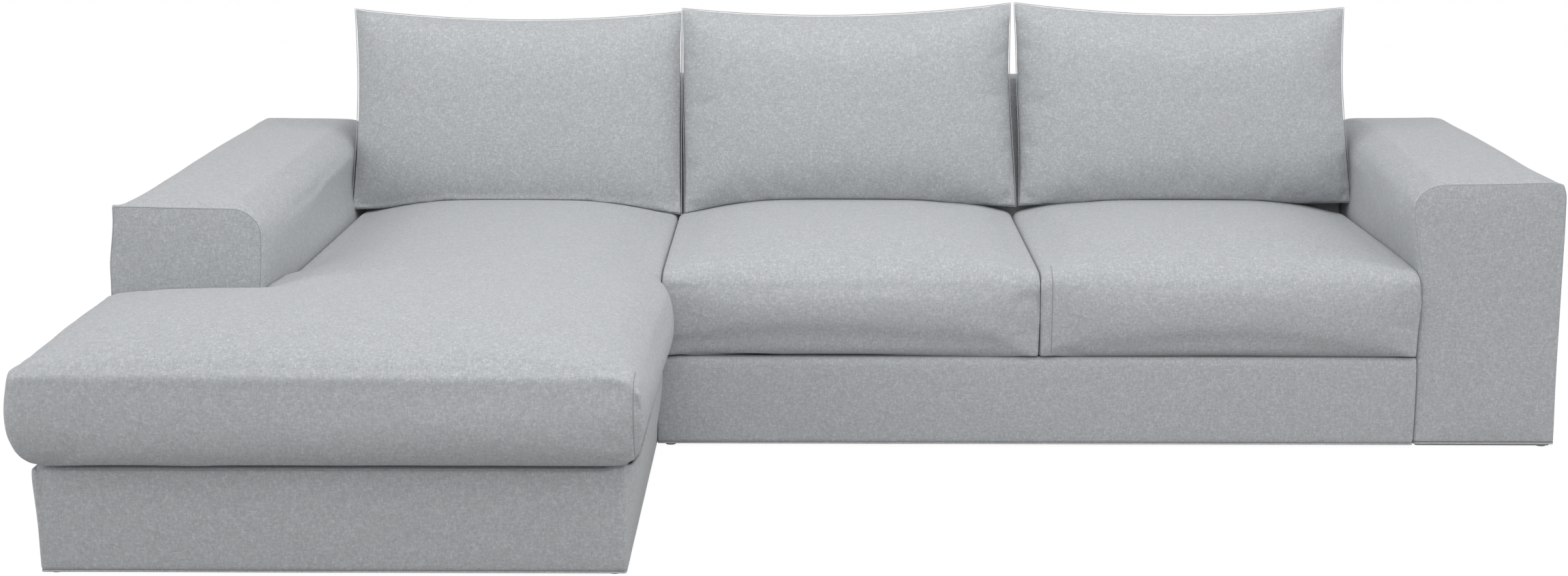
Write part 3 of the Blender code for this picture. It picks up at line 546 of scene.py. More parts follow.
# Arms: four boards in a box, open at the bottom, under thick padding and the grey fabric.
# The front and rear panels are sewn to the long cover that runs over the top, so a seam follows
# the edge of each; the inner top edge is the soft, widely rounded one.
dress_nodes(chipboard, "arm_top_board", "arm_front_board", "arm_inner_board", "arm_outer_board")
ARM_SOFT_RADIUS = 0.060
ARM_OUTER_RADIUS = 0.042
ARM_RIM_RADIUS = 0.010
ARM_RIM_HELD = 0.008
ARM_SQUARE_REACH = 0.034
ARM_SEAM_TURN = math.radians(60.0)
ARM_FLAT_FROM = 1.15
ARM_REAR_SHARE = 0.8
ARM_LEAN_FROM = 0.36
ARM_LEAN_BELOW = 0.08
ARM_LEAN_DROP = 0.07
ARM_TOP_BAND = (0.12, 0.02)
ARM_OUTER_BAND = (0.15, 0.03)
ARM_TOP_STAYS = 0.6
ARM_INNER_FROM = 0.6
ARM_OUTER_TO = 0.4
# The seam entry of each arm is the material of its seams, painted darker than the fabric as shade in the
# seam line; the right arm's is fainter.
ARM_SETTLING = {
    "left": {"inner": (0.008, -0.020), "outer": (0.010, -0.003), "top": (-0.006, 0.002), "fall": 0.008,
             "square": 1.0, "seam": seam_shade_fabric},
    "right": {"inner": (0.026, -0.009), "outer": (0.001, -0.008), "top": (-0.010, 0.006), "fall": 0.006,
              "square": 0.4, "seam": faint_seam_shade_fabric},
}
ARM_CELL = 0.036
ARM_PRESSURE = 2.0
ARM_CAP = 0.0045
FOOT_HELD = 0.030
ARM_SEAM = 0.0008
ARM_SEAM_FROM = 0.25
ARM_SEAM_GRIP = 0.001
COVER_PRESS = (0.004, 0.030)
COVER_WALL = 0.012
CLOTH_FRAMES = 20


def surface_of(node):
    """A CAD node's surface, for the nearest place on it or where a ray meets it."""
    mesh = nodes[node].data
    corners = [point.co for point in mesh.vertices]
    return BVHTree.FromPolygons(corners, [tuple(face.vertices) for face in mesh.polygons])


def pressed_by(piece, neighbours, close, clear):
    """How firmly neighbours press on each point of a piece: 1 where close, 0 where clear of them."""
    weights = np.zeros(len(piece.data.vertices))
    for surface in map(surface_of, neighbours):
        for point in piece.data.vertices:
            gap = surface.find_nearest(point.co)[3]
            weights[point.index] = max(weights[point.index], min(1.0, (clear - gap) / (clear - close)))
    return np.clip(weights, 0.0, 1.0)


def blow_up(piece, held, pressure, cap, shrink=0.0):
    """Pad a piece from inside with cloth; held is how firmly each point is sewn or pressed, 0 to 1."""
    group = piece.vertex_groups.new(name="held")
    for index, weight in enumerate(held):
        group.add([index], float(weight), "REPLACE")
    choose(piece)
    cloth = piece.modifiers.new("padding", "CLOTH")
    cloth.settings.quality = 5
    cloth.settings.mass = 0.3
    cloth.settings.bending_stiffness = 0.5
    cloth.settings.use_pressure = True
    cloth.settings.uniform_pressure_force = pressure
    cloth.settings.shrink_min = shrink
    cloth.settings.vertex_group_mass = group.name
    cloth.settings.effector_weights.gravity = 0.0
    cloth.collision_settings.use_collision = False
    cloth.point_cache.frame_start = 1
    cloth.point_cache.frame_end = CLOTH_FRAMES
    for step in range(1, CLOTH_FRAMES + 1):
        scene.frame_set(step)
    solved = piece.evaluated_get(bpy.context.evaluated_depsgraph_get())
    count = len(piece.data.vertices)
    before = np.empty(count * 3)
    after = np.empty(count * 3)
    piece.data.vertices.foreach_get("co", before)
    solved.data.vertices.foreach_get("co", after)
    move = (after - before).reshape(-1, 3)
    length = np.linalg.norm(move, axis=1)
    move *= (np.tanh(length / cap) * cap / np.maximum(length, 1e-9))[:, None]
    piece.modifiers.remove(cloth)
    piece.vertex_groups.remove(group)
    piece.data.vertices.foreach_set("co", before + move.ravel())
    piece.data.update()
    scene.frame_set(1)


def arm_cover(side, inner_is_right, neighbours):
    """One arm's upholstery, from a block with its edges rounded, sliced, padded and given walls."""
    node = f"{side}_arm_cover"
    low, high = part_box(node)
    inner, outer = (high.x, low.x) if inner_is_right else (low.x, high.x)
    piece = add_block(f"{side}_arm_upholstery", low, high)
    drop_faces(piece, lambda p: near(p.z, low.z))
    round_edges(piece, ARM_SOFT_RADIUS, 8, lambda p: near(p.z, high.z) and near(p.x, inner))
    round_edges(piece, ARM_OUTER_RADIUS, 6, lambda p: near(p.z, high.z) and near(p.x, outer))
    round_edges(piece, ARM_RIM_RADIUS, 3, lambda p: near(p.y, low.y), lambda p: near(p.y, high.y),
                spared=lambda p: near(p.z, low.z))
    pick(piece, "FACE", lambda p: near(p.y, low.y) or near(p.y, high.y))
    bpy.ops.mesh.inset(thickness=ARM_RIM_HELD, use_boundary=False)
    clear = ARM_RIM_RADIUS + ARM_RIM_HELD
    flat = (outer + math.copysign(ARM_OUTER_RADIUS * ARM_FLAT_FROM, inner - outer),
            inner + math.copysign(ARM_SOFT_RADIUS * ARM_FLAT_FROM, outer - inner))
    slice_at(0, evenly(min(flat), max(flat), ARM_CELL))
    slice_at(1, evenly(low.y + clear, high.y - clear, ARM_CELL))
    slice_at(2, [low.z + rise for rise in HEM_LINES])
    slice_at(2, evenly(low.z + FOOT_HELD, high.z - ARM_SOFT_RADIUS * ARM_FLAT_FROM, ARM_CELL))
    end_edit()
    round_off(piece)
    settling = ARM_SETTLING[side]

    def panel_share(point):
        return settling["square"] * (1.0 - smooth_step(point.y - low.y, 0.0, ARM_SQUARE_REACH))

    square_up(piece, (0, outer), (2, high.z), ARM_OUTER_RADIUS, panel_share)
    settle_arm(piece, low, high, inner, outer, settling)
    rim = ARM_RIM_RADIUS * (1 - math.sin(ARM_SEAM_TURN))
    seam_y = (low.y + rim, high.y - rim)
    held = pressed_by(piece, neighbours, *COVER_PRESS)
    for point in piece.data.vertices:
        on_seam = any(near(point.co.y, y, ARM_SEAM_GRIP) for y in seam_y)
        if on_seam or point.co.z < low.z + HEM_LINES[-1]:
            held[point.index] = 1.0
    blow_up(piece, held, ARM_PRESSURE, ARM_CAP)
    drape(piece, low.z, high.z, 0.0)
    round_off(piece)
    # The seams along the front and rear panels are thin tubes in a darker flat colour: painted shade in
    # the seam line.
    for name, y in (("front", seam_y[0]), ("rear", seam_y[1])):
        seam_along(piece, f"{side}_arm_{name}_seam", (0, y, 0), (0, 1, 0), ARM_SEAM, settling["seam"],
                   lambda p: p.z > low.z + ARM_SEAM_FROM)
    # The hem's line is a thin tube in a dark flat colour: painted shadow where the hem sinks in.
    seam_along(piece, f"{side}_arm_hem", (0, 0, low.z + HEM_LINES[1]), (0, 0, 1), HEM_SEAM, hem_shadow_fabric)
    apply_modifier(piece, "SOLIDIFY", thickness=COVER_WALL, offset=-1.0)
    finish_piece(piece, "root", fabric)
    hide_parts(node)


def square_up(piece, first, second, radius, share_at):
    """Pull a rounded edge out towards the sharp one where two planes, each an axis and a place, meet."""
    middle = [sum(corner[k] for corner in piece.bound_box) / 8 for k in range(3)]
    signs = [math.copysign(1.0, place - middle[axis]) for axis, place in (first, second)]
    for point in piece.data.vertices:
        share = share_at(point.co)
        reaches = [(point.co[axis] - place) * sign + radius
                   for (axis, place), sign in zip((first, second), signs)]
        if share > 0.0 and min(reaches) > 0.0:
            grow = share * (math.hypot(*reaches) / max(reaches) - 1.0)
            for (axis, place), sign, reach in zip((first, second), signs, reaches):
                point.co[axis] += grow * reach * sign


def settle_arm(piece, low, high, inner, outer, settling):
    """Let an arm's padding settle: its faces lean a little and its top falls to the front and inside.

    Each pair in settling holds a move at the front and one at the rear.
    """
    inwards = math.copysign(1.0, inner - outer)

    def move(part, back, rear_kept=1.0):
        front, rear = settling[part]
        return front * (1.0 - back) + rear * back * rear_kept

    def in_band(z, band):
        return smooth_step(z, high.z - band[0], high.z - band[1])

    for point in piece.data.vertices:
        across = min(abs(point.co.x - outer) / (high.x - low.x), 1.0)
        back = smooth_step(point.co.y, low.y, low.y + ARM_REAR_SHARE * (high.y - low.y))
        above = smooth_step(point.co.z, ARM_LEAN_FROM, high.z - ARM_LEAN_BELOW - ARM_LEAN_DROP * back)
        at_top = in_band(point.co.z, ARM_TOP_BAND)
        lean = inwards * move("inner", back, 1.0 - ARM_TOP_STAYS * at_top)
        point.co.x += lean * above * smooth_step(across, ARM_INNER_FROM, 1.0)
        lean = inwards * move("outer", back)
        point.co.x += lean * in_band(point.co.z, ARM_OUTER_BAND) * max(0.0, 1.0 - across / ARM_OUTER_TO)
        point.co.z += at_top * (move("top", back) - settling["fall"] * across)


arm_cover("left", True, ["seat_cushion_chaise", "chaise_back_cover"])
arm_cover("right", False, ["seat_cushion_right", "seat_back_cover"])

# Backrests: posts and a top board under padding, covered in one piece that runs down the back to
# the floor. Each half's cover is closed next to its arm, and the two meet where the halves join.
dress_nodes(chipboard, "back_top_board", "back_post")
BACK_TOP_DEPTH = 0.150
BACK_FRONT_RADIUS = 0.030
BACK_REAR_RADIUS = 0.020
BACK_END_RADIUS = 0.012
BACK_CELL = 0.040
BACK_END_CLEAR = 1.5
BACK_EDGE_CLEAR = 1.4
BACK_PRESSURE = 2.0
BACK_CAP = 0.004
JOIN_TUCK = 0.0035
JOIN_TUCK_REACH = 0.008
JOIN_LINES = (0.004, 0.010)
JOIN_HELD = 0.012


def backrest(half, shut_x, open_x, neighbours):
    """One half's back upholstery, closed at shut_x and open where it meets the other at open_x."""
    node = f"{half}_back_cover"
    low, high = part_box(node)
    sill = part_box("seat_cushion_middle")[0].z
    piece = add_block(f"{half}_back_upholstery", (low.x, low.y, sill), high)
    pick(piece, "EDGE", lambda p: near(p.y, low.y) and near(p.z, high.z))
    bpy.ops.transform.translate(value=(0.0, high.y - BACK_TOP_DEPTH - low.y, 0.0))
    drop_faces(piece, lambda p: near(p.z, sill))
    drop_faces(piece, lambda p: near(p.x, open_x))
    front_top = high.y - BACK_TOP_DEPTH
    round_edges(piece, BACK_FRONT_RADIUS, 6, lambda p: near(p.z, high.z) and near(p.y, front_top))
    round_edges(piece, BACK_REAR_RADIUS, 4, lambda p: near(p.z, high.z) and near(p.y, high.y))
    round_edges(piece, BACK_END_RADIUS, 4, lambda p: near(p.x, shut_x),
                spared=lambda p: near(p.z, sill))
    clear = BACK_END_RADIUS * BACK_END_CLEAR
    inwards = 1.0 if open_x > shut_x else -1.0
    span = sorted((shut_x + inwards * clear, open_x))
    slice_at(0, evenly(*span, BACK_CELL)[1:-1] + [shut_x + inwards * clear])
    slice_at(0, [open_x - inwards * step for step in JOIN_LINES])
    slice_at(1, evenly(front_top + BACK_FRONT_RADIUS * BACK_EDGE_CLEAR,
                       high.y - BACK_REAR_RADIUS * BACK_EDGE_CLEAR, BACK_CELL))
    slice_at(2, evenly(sill + BACK_CELL, high.z - BACK_FRONT_RADIUS * BACK_END_CLEAR, BACK_CELL))
    pick(piece, "EDGE", lambda p: near(p.z, sill) and near(p.y, high.y, reach=0.001))
    bpy.ops.mesh.extrude_region_move(TRANSFORM_OT_translate={"value": (0.0, 0.0, low.z - sill)})
    slice_at(2, [low.z + rise for rise in HEM_LINES])
    slice_at(2, evenly(low.z + FOOT_HELD, sill, BACK_CELL)[:-1])
    end_edit()
    round_off(piece)
    held = pressed_by(piece, neighbours, *COVER_PRESS)
    for point in piece.data.vertices:
        if point.co.z < low.z + FOOT_HELD or near(point.co.x, open_x, JOIN_HELD):
            held[point.index] = 1.0
    blow_up(piece, held, BACK_PRESSURE, BACK_CAP)
    tucks = [max(0.0, 1.0 - abs(point.co.x - open_x) / JOIN_TUCK_REACH) for point in piece.data.vertices]
    push_out(piece, [-JOIN_TUCK * tuck for tuck in tucks])
    drape(piece, low.z, high.z, 0.0)
    round_off(piece)
    apply_modifier(piece, "SOLIDIFY", thickness=COVER_WALL, offset=-1.0)
    finish_piece(piece, "root", fabric)
    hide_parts(node)


chaise_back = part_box("chaise_back_cover")
seat_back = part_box("seat_back_cover")
backrest("chaise", chaise_back[0].x, chaise_back[1].x, ["left_arm_cover", "back_cushion_left"])
backrest("seat", seat_back[1].x, seat_back[0].x,
         ["right_arm_cover", "back_cushion_middle", "back_cushion_right"])

# Seat cushions: foam with a wadded, crowned top in one cover each, fixed to the springs.
# They swell out over the bases. On two of them a seam runs down the front, where a panel is sewn in.
SEAT_VOXEL = 0.010
CHAISE_VOXEL = 0.012
SEAT_PRESSURE = 3.0
SEAT_CAP = 0.0060
SEAT_SEAM_IN = 0.024
CHAISE_SEAM_IN = 0.022
SEAT_SEAM = 0.0011
SEAM_REACH = 0.060
SEAM_FROM = 0.012
SEAM_HELD_FROM = 0.02
SEAM_SNAP = 0.55
SEAT_PRESS = (0.006, 0.035)
ROUNDING_LEVELS = 2
ROUNDING_TURNS = 2
ROUNDING_SHARE = 0.7
HEM_FREE = 0.045
CALM_REACH = (0.10, 0.22)
CALM_TURNS = 40
EVEN_TURNS = 6
PRESS_REACH = 0.040
PRESS_POWER = 3
PRESS_GAP = 0.0006
PRESS_FADE = 0.03


def round_through(piece, foot):
    """Round a coarse piece off and keep its fullness: its points above the hem stay on the surface."""
    goals = [point.co.copy() for point in piece.data.vertices]
    rounding = piece.modifiers.new("rounding", "SUBSURF")
    rounding.levels = ROUNDING_LEVELS
    rounding.render_levels = ROUNDING_LEVELS
    for _ in range(ROUNDING_TURNS):
        smooth = piece.evaluated_get(bpy.context.evaluated_depsgraph_get()).data.vertices
        misses = [goal - smooth[index].co for index, goal in enumerate(goals)]
        for point, goal, miss in zip(piece.data.vertices, goals, misses):
            point.co += miss * ROUNDING_SHARE * smooth_step(goal.z, foot + HEM_FREE, foot + 2 * HEM_FREE)
        piece.data.update()
    choose(piece)
    bpy.ops.object.modifier_apply(modifier=rounding.name)


def press_on(piece, walls):
    """Press a piece flat on its neighbours, so that only thin lines part them.

    Each wall is an axis, a place on it and how firmly a point is pressed on it there, 0 to 1.
    """
    for axis, place, firmness in walls:
        for point in piece.data.vertices:
            gap = abs(point.co[axis] - place)
            if gap < PRESS_REACH:
                kept = PRESS_GAP + (gap / PRESS_REACH) ** PRESS_POWER * (PRESS_REACH - PRESS_GAP)
                move = (gap - min(kept, gap)) * firmness(point.co)
                point.co[axis] -= math.copysign(move, point.co[axis] - place)


def soothe(piece, spot):
    """Smooth a piece round a spot in plan, so that its padding flows round the corner there."""
    group = piece.vertex_groups.new(name="calm")
    for point in piece.data.vertices:
        away = math.hypot(point.co.x - spot[0], point.co.y - spot[1])
        group.add([point.index], 1.0 - smooth_step(away, *CALM_REACH), "REPLACE")
    apply_modifier(piece, "SMOOTH", factor=0.5, iterations=CALM_TURNS, vertex_group=group.name,
                   use_x=False, use_y=False)
    piece.vertex_groups.clear()


def fill_join(piece, join_x):
    """Fill a seat's top out a little on both sides of a join, towards the back."""
    for point in piece.data.vertices:
        away = abs(point.co.x - join_x)
        full = smooth_step(away, 0.0, JOIN_RISE) * (1.0 - smooth_step(away, *JOIN_FALL))
        full *= smooth_step(point.co.z, *JOIN_HEIGHTS) * smooth_step(point.co.y, *JOIN_DEPTHS)
        point.co.z += JOIN_FULLNESS * full


def seat_cushion(node, voxel, seam_x, neighbours, walls,
                 edges=(), calm_spot=None, spreads=(), join_x=None):
    """A seat cushion from its solid: welded, rounded off, remeshed evenly and padded with cloth."""
    name = node.replace("seat_cushion", "seat_pad")
    piece = add_object(name, nodes[node].data.copy())
    low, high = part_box(node)
    edit_all(piece)
    bpy.ops.mesh.remove_doubles(threshold=0.00001)
    bpy.ops.mesh.tris_convert_to_quads(face_threshold=math.pi, shape_threshold=math.pi)
    end_edit()
    round_through(piece, low.z)
    piece.data.remesh_voxel_size = voxel
    bpy.ops.object.voxel_remesh()
    apply_modifier(piece, "SMOOTH", factor=0.5, iterations=EVEN_TURNS)
    if calm_spot:
        soothe(piece, calm_spot)
    held = pressed_by(piece, neighbours, *SEAT_PRESS)
    for point in piece.data.vertices:
        on_front = point.co.y < low.y + SEAM_REACH and point.co.z > low.z + SEAM_HELD_FROM
        if seam_x is not None and on_front and abs(point.co.x - seam_x) < voxel * SEAM_SNAP:
            point.co.x = seam_x
            held[point.index] = 1.0
    blow_up(piece, held, SEAT_PRESSURE, SEAT_CAP)
    for first, second, radius, share_at in edges:
        square_up(piece, first, second, radius, share_at)
    for point in piece.data.vertices:
        point.co.x += sum(spread(point.co) for spread in spreads)
    if join_x is not None:
        fill_join(piece, join_x)
    press_on(piece, walls)
    round_off(piece)
    # The front seam is a thin tube painted darker than the fabric: painted shade in the seam line.
    if seam_x is not None:
        seam_along(piece, f"{name}_seam", (seam_x, 0, 0), (1, 0, 0), SEAT_SEAM, seam_shade_fabric,
                   lambda p: p.y < low.y + SEAM_REACH and p.z > low.z + SEAM_FROM)
    finish_piece(piece, "root", fabric)
    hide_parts(node)


middle_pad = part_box("seat_cushion_middle")
right_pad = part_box("seat_cushion_right")
chaise_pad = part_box("seat_cushion_chaise")
left_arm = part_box("left_arm_cover")
right_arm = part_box("right_arm_cover")
seats_x = (middle_pad[1].x + right_pad[0].x) / 2
chaise_side = middle_pad[0].x - MODULE_LINE
SEAT_EDGE_HEIGHT = 0.405
CHAISE_TOP_RADIUS = 0.035
CHAISE_SIDE_SQUARE = 0.9
CHAISE_FRONT_SQUARE = 0.6
CHAISE_FOOT_RADIUS = 0.045
CHAISE_FOOT_SQUARE = 0.9
FREE_SIDE_FROM = (0.04, 0.10)
SPREAD_REACH = 0.12
LEFT_SPREAD = 0.007
RIGHT_SPREAD = 0.014
RIGHT_SPREAD_AHEAD = (0.45, 0.10)
RIGHT_SPREAD_HEIGHTS = (0.22, 0.30)
SEAT_CORNER_REACH = 0.06
JOIN_FULLNESS = 0.007
JOIN_RISE = 0.05
JOIN_FALL = (0.07, 0.20)
JOIN_HEIGHTS = (0.30, 0.40)
JOIN_DEPTHS = (0.20, 0.50)


def always(point):
    return 1.0


def beside_arm(point):
    return smooth_step(point.y - left_arm[0].y, 0.0, PRESS_FADE)


def before_arm(point):
    return smooth_step(left_arm[1].x - point.x, 0.0, PRESS_FADE)


def beside_seat(point):
    return smooth_step(point.y - middle_pad[0].y, 0.0, PRESS_FADE)


def free_side(point):
    """The chaise's right side ahead of the seats, where its cover runs straight down to the base."""
    back = smooth_step(middle_pad[0].y - point.y, 0.0, PRESS_FADE)
    return CHAISE_FOOT_SQUARE * back * smooth_step(point.y - chaise_pad[0].y, *FREE_SIDE_FROM)


def left_spread(point):
    """How far the chaise's left side swells out, ahead of the arm."""
    near_side = 1.0 - smooth_step(point.x - chaise_pad[0].x, 0.0, SPREAD_REACH)
    return -LEFT_SPREAD * near_side * smooth_step(left_arm[0].y - point.y, 0.0, PRESS_FADE)


def right_spread(point):
    """How far the chaise's right side swells out, most of all just ahead of the seats."""
    near_side = 1.0 - smooth_step(chaise_pad[1].x - point.x, 0.0, SPREAD_REACH)
    along = smooth_step(middle_pad[0].y - point.y, 0.0, PRESS_FADE)
    start, full = (middle_pad[0].y - ahead for ahead in RIGHT_SPREAD_AHEAD)
    along *= smooth_step(point.y, start, full)
    return RIGHT_SPREAD * near_side * along * smooth_step(point.z, *RIGHT_SPREAD_HEIGHTS)


def seat_corner(*places):
    """How firmly a seat's lower edge is pressed down near its ends, given their places in x."""
    return lambda p: max(1.0 - smooth_step(abs(p.x - x), 0.0, SEAT_CORNER_REACH) for x in places)


chaise_top = (2, SEAT_EDGE_HEIGHT)
seat_cushion("seat_cushion_chaise", CHAISE_VOXEL, chaise_pad[1].x - CHAISE_SEAM_IN,
             ["left_arm_cover", "chaise_back_cover", "back_cushion_left", "seat_cushion_middle",
              "chaise_front_cover", "chaise_right_cover", "chaise_left_cover"],
             [(0, left_arm[1].x, beside_arm), (1, left_arm[0].y, before_arm),
              (0, chaise_side, beside_seat)],
             [((0, chaise_pad[0].x), chaise_top, CHAISE_TOP_RADIUS, lambda p: CHAISE_SIDE_SQUARE),
              ((1, chaise_pad[0].y), chaise_top, CHAISE_TOP_RADIUS, lambda p: CHAISE_FRONT_SQUARE),
              ((0, chaise_pad[1].x), (2, chaise_pad[0].z), CHAISE_FOOT_RADIUS, free_side)],
             (left_arm[1].x, left_arm[0].y), (left_spread, right_spread))
seat_cushion("seat_cushion_middle", SEAT_VOXEL, None,
             ["seat_cushion_chaise", "seat_cushion_right", "seat_back_cover", "back_cushion_middle"],
             [(0, chaise_side, always), (0, seats_x, always),
              (2, middle_pad[0].z, seat_corner(chaise_side, seats_x))], join_x=seats_x)
seat_cushion("seat_cushion_right", SEAT_VOXEL, right_pad[0].x + SEAT_SEAM_IN,
             ["seat_cushion_middle", "right_arm_cover", "seat_back_cover", "back_cushion_right"],
             [(0, seats_x, always), (0, right_arm[0].x, always),
              (2, right_pad[0].z, seat_corner(seats_x, right_arm[0].x))], join_x=seats_x)

# Back cushions: loose pillows of fibre, two panels sewn to each other along a knife edge.
# They stand on the seats and lean on the backrest, and each has settled in its own way.
PILLOW_HEIGHT = 0.500
PILLOW_THICKNESS = 0.215
PILLOW_LEAN = math.radians(11.0)
PILLOW_SEAM_SETBACK = 0.080
PILLOW_DROOP = 0.045
PILLOW_SETTLING = {
    "left": {"left": (-0.017, -0.011, 0.009), "right": (0.009, 0.0088, 0.001), "slope": -0.003,
             "drops": (0.003, 0.015)},
    "middle": {"left": (0.016, 0.0094, 0.001), "right": (0.008, -0.005, 0.004), "slope": 0.007,
               "drops": (0.027, 0.006)},
    "right": {"left": (0.014, 0.003, 0.006), "right": (0.006, -0.010, 0.005), "slope": -0.006,
              "drops": (0.005, -0.004)},
}
PILLOW_TOP_DIP = 0.024
PILLOW_SIDES_SETTLE = 0.7
PILLOW_CROWDING = 1.25
PILLOW_SHOULDER = 3
PILLOW_FALLOFF = 0.62
PILLOW_COLUMNS = 60
PILLOW_ROWS = 40
PILLOW_REST = 0.0008
PILLOW_PRESSURE = 3.5
PILLOW_CAP = 0.009
PILLOW_LOOSE = -0.015
PILLOW_SEAM = 0.0009
PILLOW_PRESS = (0.002, 0.012)
ABOVE_ALL = 2.0


def height_of(node):
    """A function that gives the height of a seat's top at a place in plan, no lower than its edge."""
    surface = surface_of(node)

    def height(x, y):
        hit = surface.ray_cast(Vector((x, y, ABOVE_ALL)), Vector((0.0, 0.0, -1.0)))[0]
        return max(hit.z, SEAT_EDGE_HEIGHT) if hit else SEAT_EDGE_HEIGHT

    return height


back_low, back_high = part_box("seat_back_cover")
back_sill = middle_pad[0].z


def back_front(z):
    """Y of the backrest's padded front at height z."""
    share = (back_high.z - z) / (back_high.z - back_sill)
    return back_high.y - BACK_TOP_DEPTH + (back_low.y - back_high.y + BACK_TOP_DEPTH) * share


def pillow(side, seat, left_x, right_x):
    """One back cushion: two panels blown up from a knife edge, pressed by the seat and the back.

    Its sides stand by left_x and right_x. In PILLOW_SETTLING a side has the steps from there to its
    foot and its top, and its dip between them; drops lower the two foot corners.
    """
    body = f"back_cushion_{side}"
    height = height_of(seat)
    settling = PILLOW_SETTLING[side]
    top_slope = settling["slope"]
    corner_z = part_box(body)[1].z
    foot_z = corner_z - (PILLOW_HEIGHT + abs(top_slope)) * math.cos(PILLOW_LEAN)
    foot_y = back_front(foot_z) - PILLOW_SEAM_SETBACK

    def crowd(i, count):
        t = -1.0 + 2.0 * i / count
        return math.copysign(1.0 - (1.0 - abs(t)) ** PILLOW_CROWDING, t)

    def side_at(x, steps, v):
        """The place in x of a side's line at height v, and how far the side dips in from it."""
        foot, top, dip = x + steps[0], x + steps[1], steps[2]
        turn = smooth_step((1.0 + v) / 2, 0.0, PILLOW_SIDES_SETTLE)
        return foot + (top - foot) * turn, dip * (1.0 - v * v)

    def spot(u, v, face):
        full = (1.0 - abs(u) ** PILLOW_SHOULDER) * (1.0 - abs(v) ** PILLOW_SHOULDER)
        full = full ** PILLOW_FALLOFF
        out = face * PILLOW_THICKNESS / 2 * full
        share = (1.0 + v) / 2
        up = PILLOW_HEIGHT * share + top_slope * u * share
        first, first_dip = side_at(left_x, settling["left"], v)
        last, last_dip = side_at(right_x, settling["right"], v)
        x = first + first_dip + (last - last_dip - first - first_dip) * (1.0 + u) / 2
        if v > 0:
            up -= PILLOW_TOP_DIP * (1.0 - u * u) * v * v
        else:
            up -= settling["drops"][u > 0] * u ** 4 * v * v
        y = foot_y + up * math.sin(PILLOW_LEAN) - out * math.cos(PILLOW_LEAN)
        z = foot_z + up * math.cos(PILLOW_LEAN) + out * math.sin(PILLOW_LEAN)
        if face > 0:
            z -= PILLOW_DROOP * full * (1.0 - smooth_step(v, -1.0, 0.0))
        y = min(y, back_front(z) - PILLOW_REST)
        return x, y, max(z, height(x, y) + PILLOW_REST)

    points = []
    index = {}

    def corner(i, j, face):
        border = i in (0, PILLOW_COLUMNS) or j in (0, PILLOW_ROWS)
        key = (i, j, 0 if border else face)
        if key not in index:
            index[key] = len(points)
            points.append(spot(crowd(i, PILLOW_COLUMNS), crowd(j, PILLOW_ROWS), key[2]))
        return index[key]

    faces = []
    for i in range(PILLOW_COLUMNS):
        for j in range(PILLOW_ROWS):
            ring = [(i, j), (i + 1, j), (i + 1, j + 1), (i, j + 1)]
            faces.append([corner(a, b, 1) for a, b in ring])
            faces.append([corner(a, b, -1) for a, b in reversed(ring)])
    mesh = bpy.data.meshes.new(f"pillow_{side}")
    mesh.from_pydata(points, [], faces)
    piece = add_object(f"back_pillow_{side}", mesh)
    edit_all(piece)
    bpy.ops.mesh.normals_make_consistent(inside=False)
    end_edit()

    rim = {index[key] for key in index if key[2] == 0}
    held = pressed_by(piece, [seat, "seat_back_cover", "chaise_back_cover"], *PILLOW_PRESS)
    held[sorted(rim)] = 1.0
    blow_up(piece, held, PILLOW_PRESSURE, PILLOW_CAP, PILLOW_LOOSE)

    seam = add_object(f"back_pillow_{side}_seam", piece.data.copy())
    choose(seam)
    bpy.ops.object.mode_set(mode="EDIT")
    bpy.ops.mesh.select_mode(type="EDGE")
    shape = bmesh.from_edit_mesh(seam.data)
    inside = [point for point in shape.verts if point.index not in rim]
    bmesh.ops.delete(shape, geom=inside, context="VERTS")
    bmesh.update_edit_mesh(seam.data)
    end_edit()
    tube_from_line(seam, PILLOW_SEAM, body, fabric)
    round_off(piece)
    finish_piece(piece, body, fabric)
    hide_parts(body)


split_x = seat_back[0].x
pillow("left", "seat_cushion_chaise", left_arm[1].x, split_x)
pillow("middle", "seat_cushion_middle", split_x, seats_x)
pillow("right", "seat_cushion_right", seats_x, right_arm[0].x)

# Fixings: zinc-plated bolts hold the arms to the rails, and a tongue in a slot joins the halves.
dress_nodes(steel, "_bolt_", "_bracket_")

# Glides: low moulded plastic buttons, nailed under the corners; the sofa stands on them.
GLIDE_GREY = (0.55, 0.55, 0.54)
GLIDE_SIDES = 32
GLIDE_ROUNDING = 0.002

grey_plastic = new_material("grey_plastic", GLIDE_GREY, 0.5)
add_marks(grey_plastic, 900.0, 2.0, (0.40, 0.62), (0.0002, 0.4))
for node in sorted(name for name in nodes if name.startswith("glide_")):
    low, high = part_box(node)
    bpy.ops.object.select_all(action="DESELECT")
    bpy.ops.mesh.primitive_cylinder_add(vertices=GLIDE_SIDES, radius=(high.x - low.x) / 2,
                                        depth=high.z - low.z, location=(low + high) / 2)
    glide = bpy.context.object
    glide.name = node.replace("glide_", "glide_button_")
    bpy.ops.object.transform_apply(location=True, rotation=True, scale=True)
    bpy.ops.object.mode_set(mode="EDIT")
    round_edges(glide, GLIDE_ROUNDING, 3, lambda p: near(p.z, low.z))
    end_edit()
    finish_piece(glide, "root", grey_plastic)
    bpy.ops.object.shade_smooth_by_angle(angle=math.radians(40.0))
    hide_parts(node)

# The floor: a pale plain surface that shows white to the camera and keeps a faint shadow.
# The light: a soft lamp overhead, one far in front, one on each side and a pale surrounding.
FLOOR_SIZE = 30.0
FLOOR_COLOUR = (0.40, 0.40, 0.40)
FLOOR_GLOW = 0.80
GLOW_STRENGTH = 1.19
SKY_COLOUR = (0.985, 0.99, 1.0)
SKY_STRENGTH = 0.525
OVERHEAD_POWER = 46.0
FRONT_POWER = 370.0
SIDE_POWER = 98.0
SIDE_PLACE = (7.0, -2.0, 3.2)
SEATS = (0.0, 0.0, 0.4)


